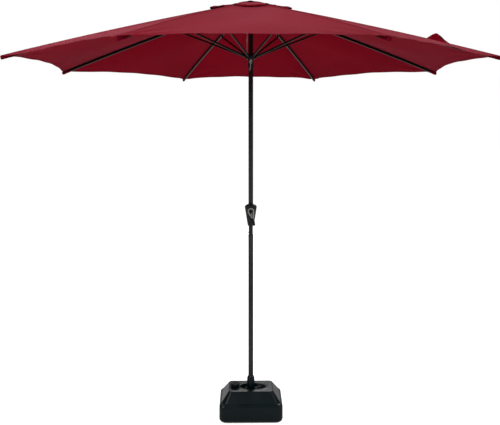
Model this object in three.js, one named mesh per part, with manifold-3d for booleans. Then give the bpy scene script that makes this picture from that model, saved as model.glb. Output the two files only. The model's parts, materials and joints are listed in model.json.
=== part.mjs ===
// Patio umbrella with a water-filled base: an eight-rib market umbrella that a crank opens and folds.
// Millimetres, +Z up. The origin is on the ground, on the pole's axis. The crank faces -Y.

import * as THREE from "three";
import { mergeVertices } from "three/addons/utils/BufferGeometryUtils.js";
import Module from "manifold-3d";

const wasm = await Module();
wasm.setup();

// ---------- driving dimensions ----------

const GAP = 0.4; // between pieces that touch on the real object
const PI = Math.PI;

// Ribs: rectangular steel tubes hinged on a ring at the crown, bowed by the pull of the cloth.
const RIB_COUNT = 8;
const HALF_STEP = PI / RIB_COUNT;
const PIVOT_RADIUS = 50;
const PIVOT_HEIGHT = 2646;
const TIP_RADIUS = 1500;
const TIP_HEIGHT = 2250;
const RIB_BOW = 12; // a rib's middle stands this far above a straight line from pivot to tip
const RIB_WIDTH = 12;
const RIB_DEPTH = 18;
const TUBE_WALL = 1;
const RIB_SLOPE = Math.atan2(PIVOT_HEIGHT - TIP_HEIGHT, TIP_RADIUS - PIVOT_RADIUS);
const RIB_REACH = Math.hypot(PIVOT_HEIGHT - TIP_HEIGHT, TIP_RADIUS - PIVOT_RADIUS);
const RIB_TONGUE_END = 60;
const RIB_TUBE_START = 32;
const TIP_CAP_LENGTH = 26;
const TONGUE_WIDTH = 5;
const EAR_THICKNESS = 1.8; // sheet of the strut's bracket
const EAR_HALF_LENGTH = 11;

// Struts: each runs from a bracket under its rib to the runner.
const STRUT_WIDTH = 10;
const STRUT_DEPTH = 12;
const BRACKET_ALONG = 500;
const BRACKET_DROP = 17;
const RUNNER_PIVOT_RADIUS = 27;
const RUNNER_PIVOT_HEIGHT = 2312;
const STRUT_TUBE_INSET = 24;
const STRUT_TONGUE_END = 44;
const STRUT_PIN_RADIUS = 2.4;

// Canopy cloth.
const CLOTH = 1;
const CLOTH_LIFT = 1.5; // cloth above the ribs' upper faces
const VENT_RADIUS = 190; // opening in the middle of the canopy, at the ribs
const HEM_SCALLOP = 65; // how far a hem curves in, half way between two ribs
const VENT_CAP_RADIUS = 275;
const VENT_CAP_RIM_HEIGHT = 2608;
const VENT_CAP_SHOULDER_RADIUS = 75;
const VENT_CAP_SHOULDER_HEIGHT = 2659.5;
const VENT_CAP_TOP_HEIGHT = 2662;
const VENT_CAP_HOLE = 10;

// Crown.
const HUB_RADIUS = 62;
const HUB_BOTTOM = 2626;
const HUB_TOP = 2656;
const HUB_CORE_RADIUS = 39;
const HUB_BOSS_RADIUS = 21;
const HUB_BOSS_LENGTH = 26;
const SLOT_WIDTH = 7;
const RING_WIRE_RADIUS = 1.5;
const PULLEY_X = -12;
const PULLEY_HEIGHT = 2637;
const PULLEY_RADIUS = 10;
const CORD_RADIUS = 2;
const CORD_TAIL_LENGTH = 76;
const CORD_TAIL_X = 0;
const CORD_TAIL_Y = -26;
const FINIAL_RADIUS = 32;
const FINIAL_TOP = 2679;

// Runner that slides on the upper pole.
const RUNNER_RADIUS = 35;
const RUNNER_CORE_RADIUS = 20;
const RUNNER_HALF_HEIGHT = 13;
const RUNNER_SLEEVE_BOTTOM = 2244;
const RUNNER_SLEEVE_RADIUS = 19;

// Pole in two lengths.
const UPPER_POLE_RADIUS = 15.3;
const LOWER_POLE_RADIUS = 16;
const NECK_RADIUS = 13.5;
const POLE_WALL = 1.2;
const UPPER_POLE_BOTTOM = 1346;
const UPPER_POLE_TOP = 2621;
const LOWER_POLE_BOTTOM = 20;
const LOWER_POLE_TOP = 1160;
const NECK_BOTTOM = 1060;
const BUTTON_HEIGHT = 1178;

// Crank housing, winch and crank.
const HOUSING_BOTTOM = 1221;
const HOUSING_TOP = 1362;
const HOUSING_FOOT_RADIUS = 21;
const HOUSING_RIM_RADIUS = 39.5;
const HOUSING_CONE_HEIGHT = 17;
const HOUSING_HALF_DEPTH = 30;
const HOUSING_WALL = 3;
const CRANK_HEIGHT = 1318;
const SHAFT_RADIUS = 5;
const DRUM_RADIUS = 11;
const CRANK_PLATE_RADIUS = 20.5;
const CRANK_PLATE_END = new THREE.Vector2(11, -36); // the plate's narrow end from the shaft, from the front
const CRANK_PLATE_END_RADIUS = 8.5;
const CRANK_END = new THREE.Vector2(20, -77); // knob from the shaft, seen from the front
const CRANK_END_RADIUS = 7.5;
const CRANK_PLATE_Y = -31;
const CRANK_PLATE_THICKNESS = 4;
const KNOB_LENGTH = 48;

// Base: a blow-moulded tank with a stepped, faceted top.
const BASE_WIDTH = 400;
const BASE_DEPTH = 280;
const BASE_CORNER = 28;
const SKIRT_HEIGHT = 106;
const SHOULDER_HEIGHT = 118;
const SHOULDER_INSET = 9;
const TANK_TOP = 183;
const TOP_WIDTH = 280;
const TOP_DEPTH = 166;
const TOP_CHAMFER = 10;
const FACET_CHAMFER = 58;
const TANK_WALL = 3.5;
const WELL_X = 12;
const WELL_Y = -12;
const WELL_HALF_WIDTH = 84;
const WELL_HALF_DEPTH = 46;
const WELL_FLOOR = 158;
const WATER_LEVEL = 134;
const SOCKET_RADIUS = 24.5;
const SOCKET_BORE = 16.6;
const SOCKET_TOP = 251;
const SOCKET_BOTTOM = 12.4;
const FILLER_X = -102;
const FILLER_Y = -8;
const FILLER_RADIUS = 21;
const FILLER_CAP_RADIUS = 29;
const FILLER_CAP_TOP = 206;
const BOLT_HEIGHT = 170;
const LEFT_SCREW_STEM = 4; // how far each clamp screw's head stands off the socket tube
const RIGHT_SCREW_STEM = 14;

// ---------- solids ----------

// The geometry with its shared points joined and its zero-area triangles left out.
function joined(geometry) {
  const bare = geometry.clone();
  bare.deleteAttribute("normal");
  bare.deleteAttribute("uv");
  const whole = mergeVertices(bare, 1e-3);
  const old = Array.from(whole.index.array);
  const kept = [];
  for (let i = 0; i < old.length; i += 3) {
    const [a, b, c] = old.slice(i, i + 3);
    if (a !== b && b !== c && c !== a) kept.push(a, b, c);
  }
  whole.setIndex(kept);
  return whole;
}

function solid(geometry) {
  const whole = joined(geometry);
  return new wasm.Manifold(
    new wasm.Mesh({
      numProp: 3,
      vertProperties: Float32Array.from(whole.attributes.position.array),
      triVerts: Uint32Array.from(whole.index.array),
    }),
  );
}

function geometryOf(manifold) {
  const cut = manifold.getMesh();
  const geometry = new THREE.BufferGeometry();
  const places = Float32Array.from(cut.vertProperties);
  geometry.setAttribute("position", new THREE.BufferAttribute(places, 3));
  geometry.setIndex(Array.from(cut.triVerts));
  return geometry;
}

function box(x0, x1, y0, y1, z0, z1) {
  const geometry = new THREE.BoxGeometry(x1 - x0, y1 - y0, z1 - z0);
  geometry.translate((x0 + x1) / 2, (y0 + y1) / 2, (z0 + z1) / 2);
  return solid(geometry);
}

// A round bar along one axis, from one end to the other, whose axis passes through (u, v):
// (y, z) for "x", (x, z) for "y" and (x, y) for "z".
function bar(along, radius, from, to, u = 0, v = 0, sides = 20) {
  const geometry = new THREE.CylinderGeometry(radius, radius, to - from, sides);
  const middle = (from + to) / 2;
  if (along === "x") geometry.rotateZ(PI / 2).translate(middle, u, v);
  if (along === "y") geometry.translate(u, middle, v);
  if (along === "z") geometry.rotateX(PI / 2).translate(u, v, middle);
  return solid(geometry);
}

// A solid of revolution about Z. The outline is [radius, height] pairs, up the outside and down the
// inside.
function turned(outline, sides = 24, start = 0) {
  const points = outline.map(([radius, height]) => new THREE.Vector2(radius, height));
  const geometry = new THREE.LatheGeometry(points, sides, start);
  geometry.rotateX(PI / 2);
  return geometry;
}

function pipe(radius, wall, bottom, top, sides = 24) {
  const inner = radius - wall;
  const outline = [[inner, bottom], [radius, bottom], [radius, top], [inner, top], [inner, bottom]];
  return turned(outline, sides);
}

// The same solid at each rib's azimuth.
function aroundRibs(manifold) {
  const copies = [];
  for (let i = 0; i < RIB_COUNT; i++) {
    const degrees = ((2 * i + 1) * 180) / RIB_COUNT;
    copies.push(manifold.rotate([0, 0, degrees]));
  }
  return copies;
}

function cutAll(body, cutters) {
  return cutters.reduce((left, cutter) => left.subtract(cutter), body);
}

// A closed skin over a grid of points: an upper face, a lower one, and a rim.
function sheetSolid(upper, lower) {
  const rows = upper.length;
  const columns = upper[0].length;
  const points = [...upper.flat(), ...lower.flat()];
  const at = (side, i, j) => side * rows * columns + i * columns + j;
  const index = [];
  const quad = (a, b, c, d) => index.push(a, b, c, a, c, d);
  for (let i = 0; i + 1 < rows; i++) {
    for (let j = 0; j + 1 < columns; j++) {
      quad(at(0, i, j), at(0, i + 1, j), at(0, i + 1, j + 1), at(0, i, j + 1));
      quad(at(1, i, j), at(1, i, j + 1), at(1, i + 1, j + 1), at(1, i + 1, j));
    }
    quad(at(0, i, 0), at(1, i, 0), at(1, i + 1, 0), at(0, i + 1, 0));
    const end = columns - 1;
    quad(at(0, i, end), at(0, i + 1, end), at(1, i + 1, end), at(1, i, end));
  }
  for (let j = 0; j + 1 < columns; j++) {
    quad(at(0, 0, j), at(0, 0, j + 1), at(1, 0, j + 1), at(1, 0, j));
    const end = rows - 1;
    quad(at(0, end, j), at(1, end, j), at(1, end, j + 1), at(0, end, j + 1));
  }
  const geometry = new THREE.BufferGeometry();
  const flat = points.flatMap((p) => [p.x, p.y, p.z]);
  geometry.setAttribute("position", new THREE.Float32BufferAttribute(flat, 3));
  geometry.setIndex(index);
  return geometry;
}

// ---------- ribs, tips and struts, each in its own frame ----------

// How far the bowed rib stands above the straight line from pivot to tip, at a distance along it.
function bow(along) {
  const share = along / RIB_REACH;
  return 4 * RIB_BOW * share * (1 - share);
}

// A stretch of the rib's middle line: along +X from the crown pivot, with +Z away from the ground.
class RibLine extends THREE.Curve {
  constructor(from, to) {
    super();
    this.from = from;
    this.to = to;
  }

  getPoint(t, target = new THREE.Vector3()) {
    const along = this.from + t * (this.to - this.from);
    return target.set(along, 0, bow(along));
  }
}

function rectangle(Outline, halfWidth, halfDepth) {
  const outline = new Outline();
  outline.moveTo(-halfWidth, -halfDepth);
  outline.lineTo(halfWidth, -halfDepth);
  outline.lineTo(halfWidth, halfDepth);
  outline.lineTo(-halfWidth, halfDepth);
  return outline;
}

function ribGeometry() {
  const end = RIB_REACH - TIP_CAP_LENGTH - 2 * GAP;
  const halfWidth = RIB_WIDTH / 2;
  const halfDepth = RIB_DEPTH / 2;
  const inDepth = halfDepth - TUBE_WALL;
  const section = rectangle(THREE.Shape, halfWidth, halfDepth);
  section.holes.push(rectangle(THREE.Path, halfWidth - TUBE_WALL, inDepth));
  const extrudePath = new RibLine(RIB_TUBE_START, end);
  const tube = solid(new THREE.ExtrudeGeometry(section, { steps: 10, extrudePath }));
  const half = TONGUE_WIDTH / 2;
  const nose = inDepth + 0.5;
  const lift = bow((RIB_TUBE_START + RIB_TONGUE_END) / 2);
  const tongue = box(0, RIB_TUBE_START - 2, -half, half, -nose, nose)
    .add(bar("y", nose, -half, half, 0, 0, 10))
    .add(box(RIB_TUBE_START - 12, RIB_TONGUE_END, -half, half, lift - nose, lift + nose));
  const eye = bar("y", RING_WIRE_RADIUS + 0.5, -half - 1, half + 1, 0, 0, 8);
  let rib = tube.add(tongue).subtract(eye);
  const earInner = TONGUE_WIDTH / 2 + GAP;
  const earPin = bow(BRACKET_ALONG) - BRACKET_DROP;
  const earBottom = earPin - 6.5;
  const earTop = bow(BRACKET_ALONG) - inDepth - 0.3;
  const [earStart, earEnd] = [BRACKET_ALONG - EAR_HALF_LENGTH, BRACKET_ALONG + EAR_HALF_LENGTH];
  const pinHole = bar("y", STRUT_PIN_RADIUS + GAP, -10, 10, BRACKET_ALONG, earPin, 8);
  for (const side of [-1, 1]) {
    const faces = [side * earInner, side * (earInner + EAR_THICKNESS)].sort((a, b) => a - b);
    const ear = box(earStart, earEnd, ...faces, earBottom, earTop);
    rib = rib.add(ear.subtract(pinHole));
  }
  return geometryOf(rib);
}

// The moulded end that slips into a pocket of the canopy, plugged into the open end of the rib.
function ribTipGeometry() {
  const start = RIB_REACH - TIP_CAP_LENGTH;
  const halfWidth = RIB_WIDTH / 2 + 0.3;
  const halfDepth = RIB_DEPTH / 2 + 0.3;
  const plugWidth = RIB_WIDTH / 2 - TUBE_WALL - GAP;
  const plugDepth = RIB_DEPTH / 2 - TUBE_WALL - GAP;
  const plugLength = 30;
  const plug = box(start - plugLength, start + 1, -plugWidth, plugWidth, -plugDepth, plugDepth);
  const head = box(start, RIB_REACH - halfWidth, -halfWidth, halfWidth, -halfDepth, halfDepth);
  const round = bar("z", halfWidth, -halfDepth, halfDepth, RIB_REACH - halfWidth, 0, 12);
  const geometry = geometryOf(plug.add(head).add(round));
  const places = geometry.attributes.position;
  for (let i = 0; i < places.count; i++) places.setZ(i, places.getZ(i) + bow(places.getX(i)));
  return geometry;
}

// In cylindrical terms about the pole: where the strut's bracket pin is, and how the strut runs.
const PIN_DROP = BRACKET_DROP - bow(BRACKET_ALONG);
const BRACKET_PIN = new THREE.Vector2(
  PIVOT_RADIUS + BRACKET_ALONG * Math.cos(RIB_SLOPE) - PIN_DROP * Math.sin(RIB_SLOPE),
  PIVOT_HEIGHT - BRACKET_ALONG * Math.sin(RIB_SLOPE) - PIN_DROP * Math.cos(RIB_SLOPE),
);
const STRUT_RUN = BRACKET_PIN.x - RUNNER_PIVOT_RADIUS;
const STRUT_DROP = BRACKET_PIN.y - RUNNER_PIVOT_HEIGHT;
const STRUT_LENGTH = Math.hypot(STRUT_RUN, STRUT_DROP);
const STRUT_SLOPE = Math.atan2(STRUT_DROP, STRUT_RUN);

// Along -X from its pin in the rib's bracket to its open end in the runner.
function strutGeometry() {
  const halfWidth = STRUT_WIDTH / 2;
  const halfDepth = STRUT_DEPTH / 2;
  const inWidth = halfWidth - TUBE_WALL;
  const inDepth = halfDepth - TUBE_WALL;
  const from = -STRUT_LENGTH + STRUT_TUBE_INSET;
  const to = -STRUT_TUBE_INSET;
  const hollow = box(from - 1, to + 1, -inWidth, inWidth, -inDepth, inDepth);
  let strut = box(from, to, -halfWidth, halfWidth, -halfDepth, halfDepth).subtract(hollow);
  const half = TONGUE_WIDTH / 2;
  const nose = inDepth + 0.5;
  const ends = [[-STRUT_LENGTH, -STRUT_LENGTH + STRUT_TONGUE_END], [-STRUT_TONGUE_END, 0]];
  for (const [x0, x1] of ends) {
    const round = x1 === 0 ? x1 : x0;
    strut = strut.add(box(x0, x1, -half, half, -nose, nose));
    strut = strut.add(bar("y", nose, -half, half, round, 0, 10));
  }
  const pinEnd = half + 3.5;
  const pin = bar("y", STRUT_PIN_RADIUS, -pinEnd, pinEnd, 0, 0, 8);
  const eye = bar("y", STRUT_PIN_RADIUS, -half - 1, half + 1, -STRUT_LENGTH, 0, 8);
  return geometryOf(strut.add(pin).subtract(eye));
}

// ---------- canopy cloth ----------

// Height of the cloth's upper face over a rib, at a distance from the pole's axis.
function clothHeight(radius) {
  const out = radius - PIVOT_RADIUS;
  const above = RIB_DEPTH / 2 + CLOTH_LIFT + CLOTH + bow(out / Math.cos(RIB_SLOPE));
  return PIVOT_HEIGHT + above / Math.cos(RIB_SLOPE) - out * Math.tan(RIB_SLOPE);
}

// One rib's share of the canopy: from the middle of one gore to the middle of the next, with the rib
// along +X. The hem curves in between the rib tips.
function canopySectorGeometry() {
  const halfColumns = 6;
  const columns = Array.from({ length: 2 * halfColumns + 1 }, (_, i) => i / halfColumns - 1);
  const halfCos = Math.cos(HALF_STEP);
  const halfSin = Math.sin(HALF_STEP);
  const point = (radius, u, drop) => {
    const share = Math.abs(u);
    const side = Math.sign(u);
    const seam = 0.6 * share; // half the gap to the next rib's share
    const x = radius * (1 - share * halfSin * halfSin) + seam * halfSin;
    const y = side * (radius * share * halfCos * halfSin - seam * halfCos);
    return new THREE.Vector3(x, y, clothHeight(radius) - drop);
  };
  const hemRadius = (u) => TIP_RADIUS - HEM_SCALLOP * (1 - (1 - Math.abs(u)) ** 2);
  const rows = Array.from({ length: 9 }, (_, i) => i / 8);
  const radiusAt = (share, u) => VENT_RADIUS + share * (hemRadius(u) - VENT_RADIUS);
  const face = (drop) => rows.map((share) => columns.map((u) => point(radiusAt(share, u), u, drop)));
  return sheetSolid(face(0), face(CLOTH));
}

// The small eight-sided cap over the vent.
function ventCapGeometry() {
  const outline = [
    [VENT_CAP_HOLE, VENT_CAP_TOP_HEIGHT],
    [VENT_CAP_SHOULDER_RADIUS, VENT_CAP_SHOULDER_HEIGHT],
    [VENT_CAP_RADIUS, VENT_CAP_RIM_HEIGHT],
    [VENT_CAP_RADIUS, VENT_CAP_RIM_HEIGHT + CLOTH],
    [VENT_CAP_SHOULDER_RADIUS, VENT_CAP_SHOULDER_HEIGHT + CLOTH],
    [VENT_CAP_HOLE, VENT_CAP_TOP_HEIGHT + CLOTH],
    [VENT_CAP_HOLE, VENT_CAP_TOP_HEIGHT],
  ];
  return turned(outline, RIB_COUNT, HALF_STEP);
}

// The tie strap, sewn to the canopy beside a rib, with its free end standing up. It is drawn in the
// rib's frame: along +X, beside the rib on +Y.
function tieStrapGeometry() {
  const thickness = 1.5;
  const width = 30;
  const besideRib = 22;
  const base = RIB_DEPTH / 2 + CLOTH_LIFT + CLOTH + bow(1200) + 1;
  const middle = new THREE.CatmullRomCurve3([
    new THREE.Vector3(1120, 0, base + 1),
    new THREE.Vector3(1165, 0, base + 4),
    new THREE.Vector3(1178, 0, base + 34),
    new THREE.Vector3(1204, 0, base + 40),
    new THREE.Vector3(1250, 0, base + 12),
    new THREE.Vector3(1290, 0, base + 2),
  ]);
  const steps = 24;
  const upper = [];
  const lower = [];
  for (let i = 0; i <= steps; i++) {
    const p = middle.getPointAt(i / steps);
    const t = middle.getTangentAt(i / steps);
    const normal = new THREE.Vector3(-t.z, 0, t.x).multiplyScalar(thickness / 2);
    const edge = (y, sign) => p.clone().addScaledVector(normal, sign).setY(y);
    upper.push([edge(besideRib, 1), edge(besideRib + width, 1)]);
    lower.push([edge(besideRib, -1), edge(besideRib + width, -1)]);
  }
  return sheetSolid(upper, lower);
}

// ---------- crown, pulley and cord ----------

// A slot for one rib's or strut's tongue, from a core out past the rim.
function radialSlot(core, rim, bottom, top) {
  return box(core, rim + 1, -SLOT_WIDTH / 2, SLOT_WIDTH / 2, bottom - 1, top + 1);
}

function crownHubGeometry() {
  const outline = [
    [0, HUB_BOTTOM - HUB_BOSS_LENGTH],
    [HUB_BOSS_RADIUS, HUB_BOTTOM - HUB_BOSS_LENGTH],
    [HUB_BOSS_RADIUS, HUB_BOTTOM],
    [HUB_RADIUS - 3, HUB_BOTTOM],
    [HUB_RADIUS, HUB_BOTTOM + 3],
    [HUB_RADIUS, HUB_TOP],
    [0, HUB_TOP],
  ];
  const slot = radialSlot(HUB_CORE_RADIUS, HUB_RADIUS, HUB_BOTTOM, HUB_TOP);
  const grooveInner = (PIVOT_RADIUS - RING_WIRE_RADIUS - GAP) / Math.cos(HALF_STEP);
  const grooveOuter = (PIVOT_RADIUS + RING_WIRE_RADIUS + GAP) / Math.cos(HALF_STEP);
  const grooveFloor = PIVOT_HEIGHT - RING_WIRE_RADIUS - GAP;
  const groove = turned(
    [
      [grooveInner, grooveFloor],
      [grooveOuter, grooveFloor],
      [grooveOuter, HUB_TOP + 1],
      [grooveInner, HUB_TOP + 1],
      [grooveInner, grooveFloor],
    ],
    RIB_COUNT,
  );
  const boreBottom = HUB_BOTTOM - HUB_BOSS_LENGTH - 1;
  const bore = bar("z", UPPER_POLE_RADIUS + GAP, boreBottom, UPPER_POLE_TOP + GAP, 0, 0, 24);
  const chamber = box(-30, 8, -7, 7, UPPER_POLE_TOP - 1, HUB_TOP + 1);
  const cutters = [...aroundRibs(slot), solid(groove), bore, chamber];
  const axle = bar("y", 2, -8, 8, PULLEY_X, PULLEY_HEIGHT, 12);
  return geometryOf(cutAll(solid(turned(outline, 32)), cutters).add(axle));
}

// The wire that the ribs hinge on: straight across each rib's slot.
function crownRingGeometry() {
  const corner = PIVOT_RADIUS / Math.cos(HALF_STEP);
  const geometry = new THREE.TorusGeometry(corner, RING_WIRE_RADIUS, 8, RIB_COUNT);
  geometry.translate(0, 0, PIVOT_HEIGHT);
  return geometry;
}

function crownCoverGeometry() {
  const bottom = HUB_TOP + GAP;
  const hole = 5;
  return turned([[hole, bottom], [HUB_RADIUS, bottom], [HUB_RADIUS - 1, bottom + 1], [22, bottom + 2.6],
    [hole, bottom + 2.6], [hole, bottom]], 32);
}

function finialGeometry() {
  const seat = VENT_CAP_TOP_HEIGHT + CLOTH + GAP;
  const stem = HUB_TOP + 2.6 + 2 * GAP;
  return turned([[0, stem], [8, stem], [8, seat], [FINIAL_RADIUS - 2, seat], [FINIAL_RADIUS, seat + 2],
    [FINIAL_RADIUS - 4, seat + 7], [19, seat + 12], [8, FINIAL_TOP], [0, FINIAL_TOP]]);
}

// Drawn about Z and turned to lie along Y.
function pulleyGeometry() {
  const half = 4;
  const outline = [[2.5, -half], [PULLEY_RADIUS + 2, -half], [PULLEY_RADIUS + 2, -half + 0.8],
    [PULLEY_RADIUS - 0.5, -half + 2], [PULLEY_RADIUS - 0.5, half - 2], [PULLEY_RADIUS + 2, half - 0.8],
    [PULLEY_RADIUS + 2, half], [2.5, half], [2.5, -half]];
  const geometry = turned(outline, 20);
  geometry.rotateX(PI / 2);
  geometry.translate(PULLEY_X, 0, PULLEY_HEIGHT);
  return geometry;
}

function cordAlong(curve, steps) {
  const section = new THREE.Shape();
  section.absarc(0, 0, CORD_RADIUS, 0, 2 * PI);
  return new THREE.ExtrudeGeometry(section, { steps, curveSegments: 4, extrudePath: curve });
}

// A straight fall of the cord, from the pulley's outer side down to the top of the runner.
class CordFall extends THREE.Curve {
  constructor() {
    super();
    this.radius = PULLEY_RADIUS + CORD_RADIUS + 0.3;
    this.fall = PULLEY_HEIGHT - (RUNNER_PIVOT_HEIGHT + RUNNER_HALF_HEIGHT + GAP);
    this.wrap = this.radius * PI;
  }

  getPoint(t, target = new THREE.Vector3()) {
    const along = t * (this.wrap + this.fall);
    if (along > this.wrap) {
      return target.set(PULLEY_X - this.radius, 0, PULLEY_HEIGHT - (along - this.wrap));
    }
    const angle = along / this.radius;
    const x = PULLEY_X + this.radius * Math.cos(angle);
    return target.set(x, 0, PULLEY_HEIGHT + this.radius * Math.sin(angle));
  }
}

function hoistCordGeometry() {
  const inner = PULLEY_X + PULLEY_RADIUS + CORD_RADIUS + 0.3;
  const drumSide = DRUM_RADIUS + CORD_RADIUS + GAP;
  const route = new THREE.CatmullRomCurve3([
    new THREE.Vector3(drumSide, 0, CRANK_HEIGHT),
    new THREE.Vector3(drumSide - 3, 0, UPPER_POLE_BOTTOM + 10),
    new THREE.Vector3(inner, 0, UPPER_POLE_BOTTOM + 180),
    new THREE.Vector3(inner, 0, UPPER_POLE_BOTTOM + 600),
    new THREE.Vector3(inner, 0, PULLEY_HEIGHT - GAP),
  ]);
  return cordAlong(route, 26);
}

// The knotted end of the cord, hanging under the runner.
function cordTailGeometry() {
  const top = RUNNER_PIVOT_HEIGHT - RUNNER_HALF_HEIGHT - GAP;
  const end = top - CORD_TAIL_LENGTH;
  const outline = [[0, end], [1.4, end], [1.8, top - 20], [1.8, top - 14], [4.2, top - 11],
    [4.2, top - 4], [1.8, top], [0, top]];
  const geometry = turned(outline, 10);
  geometry.translate(CORD_TAIL_X, CORD_TAIL_Y, 0);
  return geometry;
}

// ---------- runner ----------

function runnerGeometry() {
  const bottom = RUNNER_PIVOT_HEIGHT - RUNNER_HALF_HEIGHT;
  const top = RUNNER_PIVOT_HEIGHT + RUNNER_HALF_HEIGHT;
  const bore = UPPER_POLE_RADIUS + 0.8;
  const outline = [
    [bore, RUNNER_SLEEVE_BOTTOM],
    [RUNNER_SLEEVE_RADIUS, RUNNER_SLEEVE_BOTTOM],
    [RUNNER_SLEEVE_RADIUS, bottom],
    [RUNNER_RADIUS - 3, bottom],
    [RUNNER_RADIUS, bottom + 3],
    [RUNNER_RADIUS, top - 3],
    [RUNNER_RADIUS - 3, top],
    [bore, top],
    [bore, RUNNER_SLEEVE_BOTTOM],
  ];
  const slot = radialSlot(RUNNER_CORE_RADIUS, RUNNER_RADIUS, bottom, top);
  return geometryOf(cutAll(solid(turned(outline, 32)), aroundRibs(slot)));
}

// ---------- pole joint ----------

function neckGeometry() {
  const neck = solid(pipe(NECK_RADIUS, 1.5, NECK_BOTTOM, HOUSING_BOTTOM + 16));
  return geometryOf(neck.subtract(bar("x", 4, -NECK_RADIUS - 2, 0, 0, BUTTON_HEIGHT, 14)));
}

function lockButtonGeometry() {
  const inside = bar("x", 5.5, -NECK_RADIUS + 3, -NECK_RADIUS + 1.5 + 3, 0, BUTTON_HEIGHT, 14);
  const stem = bar("x", 3.6, -NECK_RADIUS - 4, -NECK_RADIUS + 3.5, 0, BUTTON_HEIGHT, 14);
  return geometryOf(inside.add(stem));
}

// A plastic ring in the mouth of the lower pole, with a lip on its rim.
function jointBushGeometry() {
  const inner = NECK_RADIUS + 0.3;
  const outer = LOWER_POLE_RADIUS - POLE_WALL - 0.3;
  const rim = LOWER_POLE_TOP + GAP;
  return turned([[inner, rim - 60], [outer, rim - 60], [outer, rim], [LOWER_POLE_RADIUS, rim],
    [LOWER_POLE_RADIUS - 0.6, rim + 4], [inner, rim + 4], [inner, rim - 60]]);
}

// ---------- crank housing, winch and crank ----------

function housingHalf(front) {
  const rim = HOUSING_TOP - HOUSING_CONE_HEIGHT;
  const outer = solid(
    turned([[0, HOUSING_BOTTOM], [HOUSING_FOOT_RADIUS - 3, HOUSING_BOTTOM],
      [HOUSING_FOOT_RADIUS, HOUSING_BOTTOM + 8], [HOUSING_RIM_RADIUS, rim],
      [HOUSING_RIM_RADIUS - 2, rim + 4], [HOUSING_RIM_RADIUS - 9, rim + 10],
      [UPPER_POLE_RADIUS + 2.7, HOUSING_TOP], [0, HOUSING_TOP]], 32),
  );
  const inner = solid(
    turned([[0, HOUSING_BOTTOM + 17], [HOUSING_FOOT_RADIUS - 1.5, HOUSING_BOTTOM + 17],
      [HOUSING_RIM_RADIUS - 3.5, rim], [0, rim]], 32),
  );
  const depth = HOUSING_HALF_DEPTH;
  const inDepth = depth - HOUSING_WALL;
  const [y0, y1] = front ? [-depth, -GAP / 2] : [GAP / 2, depth];
  const shell = outer.intersect(box(-50, 50, y0, y1, HOUSING_BOTTOM - 1, HOUSING_TOP + 1));
  const cavity = inner.intersect(box(-50, 50, -inDepth, inDepth, HOUSING_BOTTOM, HOUSING_TOP));
  return geometryOf(
    cutAll(shell, [
      cavity,
      bar("z", NECK_RADIUS + GAP, HOUSING_BOTTOM - 1, HOUSING_BOTTOM + 18, 0, 0, 24),
      bar("z", UPPER_POLE_RADIUS + GAP, HOUSING_TOP - 18, HOUSING_TOP + 1, 0, 0, 24),
      bar("y", SHAFT_RADIUS + GAP, -depth - 1, depth + 1, 0, CRANK_HEIGHT, 20),
    ]),
  );
}

// The drum that the cord winds on, with its shaft through the housing.
function winchDrumGeometry() {
  const core = DRUM_RADIUS;
  const flange = 17;
  const backEnd = -HOUSING_HALF_DEPTH + 1;
  const frontEnd = HOUSING_HALF_DEPTH + CRANK_PLATE_THICKNESS;
  const outline = [[0, backEnd], [SHAFT_RADIUS, backEnd], [SHAFT_RADIUS, -20],
    [flange, -20], [flange, -17], [core, -17], [core, 17], [flange, 17], [flange, 20],
    [SHAFT_RADIUS, 20], [SHAFT_RADIUS, frontEnd], [0, frontEnd]];
  const geometry = turned(outline, 20);
  geometry.rotateX(PI / 2);
  geometry.translate(0, 0, CRANK_HEIGHT);
  return geometry;
}

// A flat link between two round ends, seen from the front.
function crankLink(from, fromRadius, to, toRadius) {
  const line = to.clone().sub(from);
  const heading = line.angle();
  const wrap = Math.acos((fromRadius - toRadius) / line.length());
  const outline = new THREE.Shape();
  outline.absarc(from.x, from.y, fromRadius, heading + wrap, heading - wrap + 2 * PI);
  outline.absarc(to.x, to.y, toRadius, heading - wrap, heading + wrap);
  const link = new THREE.ExtrudeGeometry(outline, {
    depth: CRANK_PLATE_THICKNESS,
    bevelEnabled: false,
    curveSegments: 12,
  });
  link.rotateX(PI / 2);
  link.translate(0, CRANK_PLATE_Y, CRANK_HEIGHT);
  return solid(link);
}

// A drop-shaped plate on the shaft, and the handle from it to the knob, with the knob's pin.
function crankArmGeometry() {
  const centre = new THREE.Vector2(0, 0);
  const plate = crankLink(centre, CRANK_PLATE_RADIUS, CRANK_PLATE_END, CRANK_PLATE_END_RADIUS);
  const handle = crankLink(CRANK_PLATE_END, CRANK_END_RADIUS, CRANK_END, CRANK_END_RADIUS - 0.5);
  const front = CRANK_PLATE_Y - CRANK_PLATE_THICKNESS;
  const knobZ = CRANK_HEIGHT + CRANK_END.y;
  const pin = bar("y", 3, front - KNOB_LENGTH + 4, front + 1, CRANK_END.x, knobZ, 12);
  const hole = bar("y", SHAFT_RADIUS + GAP, front - 1, CRANK_PLATE_Y + 1, 0, CRANK_HEIGHT, 20);
  return geometryOf(plate.add(handle).subtract(hole).add(pin));
}

function crankScrewGeometry() {
  const front = CRANK_PLATE_Y - CRANK_PLATE_THICKNESS - GAP;
  const geometry = turned([[0, 0], [9, 0], [8.5, 3], [5, 4.5], [0, 4.5]], 20);
  geometry.rotateX(PI / 2);
  geometry.translate(0, front, CRANK_HEIGHT);
  return geometry;
}

function crankKnobGeometry() {
  const long = KNOB_LENGTH;
  const bore = 3.5;
  const outline = [[bore, 0], [6.6, 0], [8.2, 5], [7.4, long / 2], [8.6, long - 10], [7, long - 2],
    [4.5, long], [0, long], [0, long - 3], [bore, long - 3], [bore, 0]];
  const geometry = turned(outline, 20);
  geometry.rotateX(PI / 2);
  const front = CRANK_PLATE_Y - CRANK_PLATE_THICKNESS - GAP;
  geometry.translate(CRANK_END.x, front, CRANK_HEIGHT + CRANK_END.y);
  return geometry;
}

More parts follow.
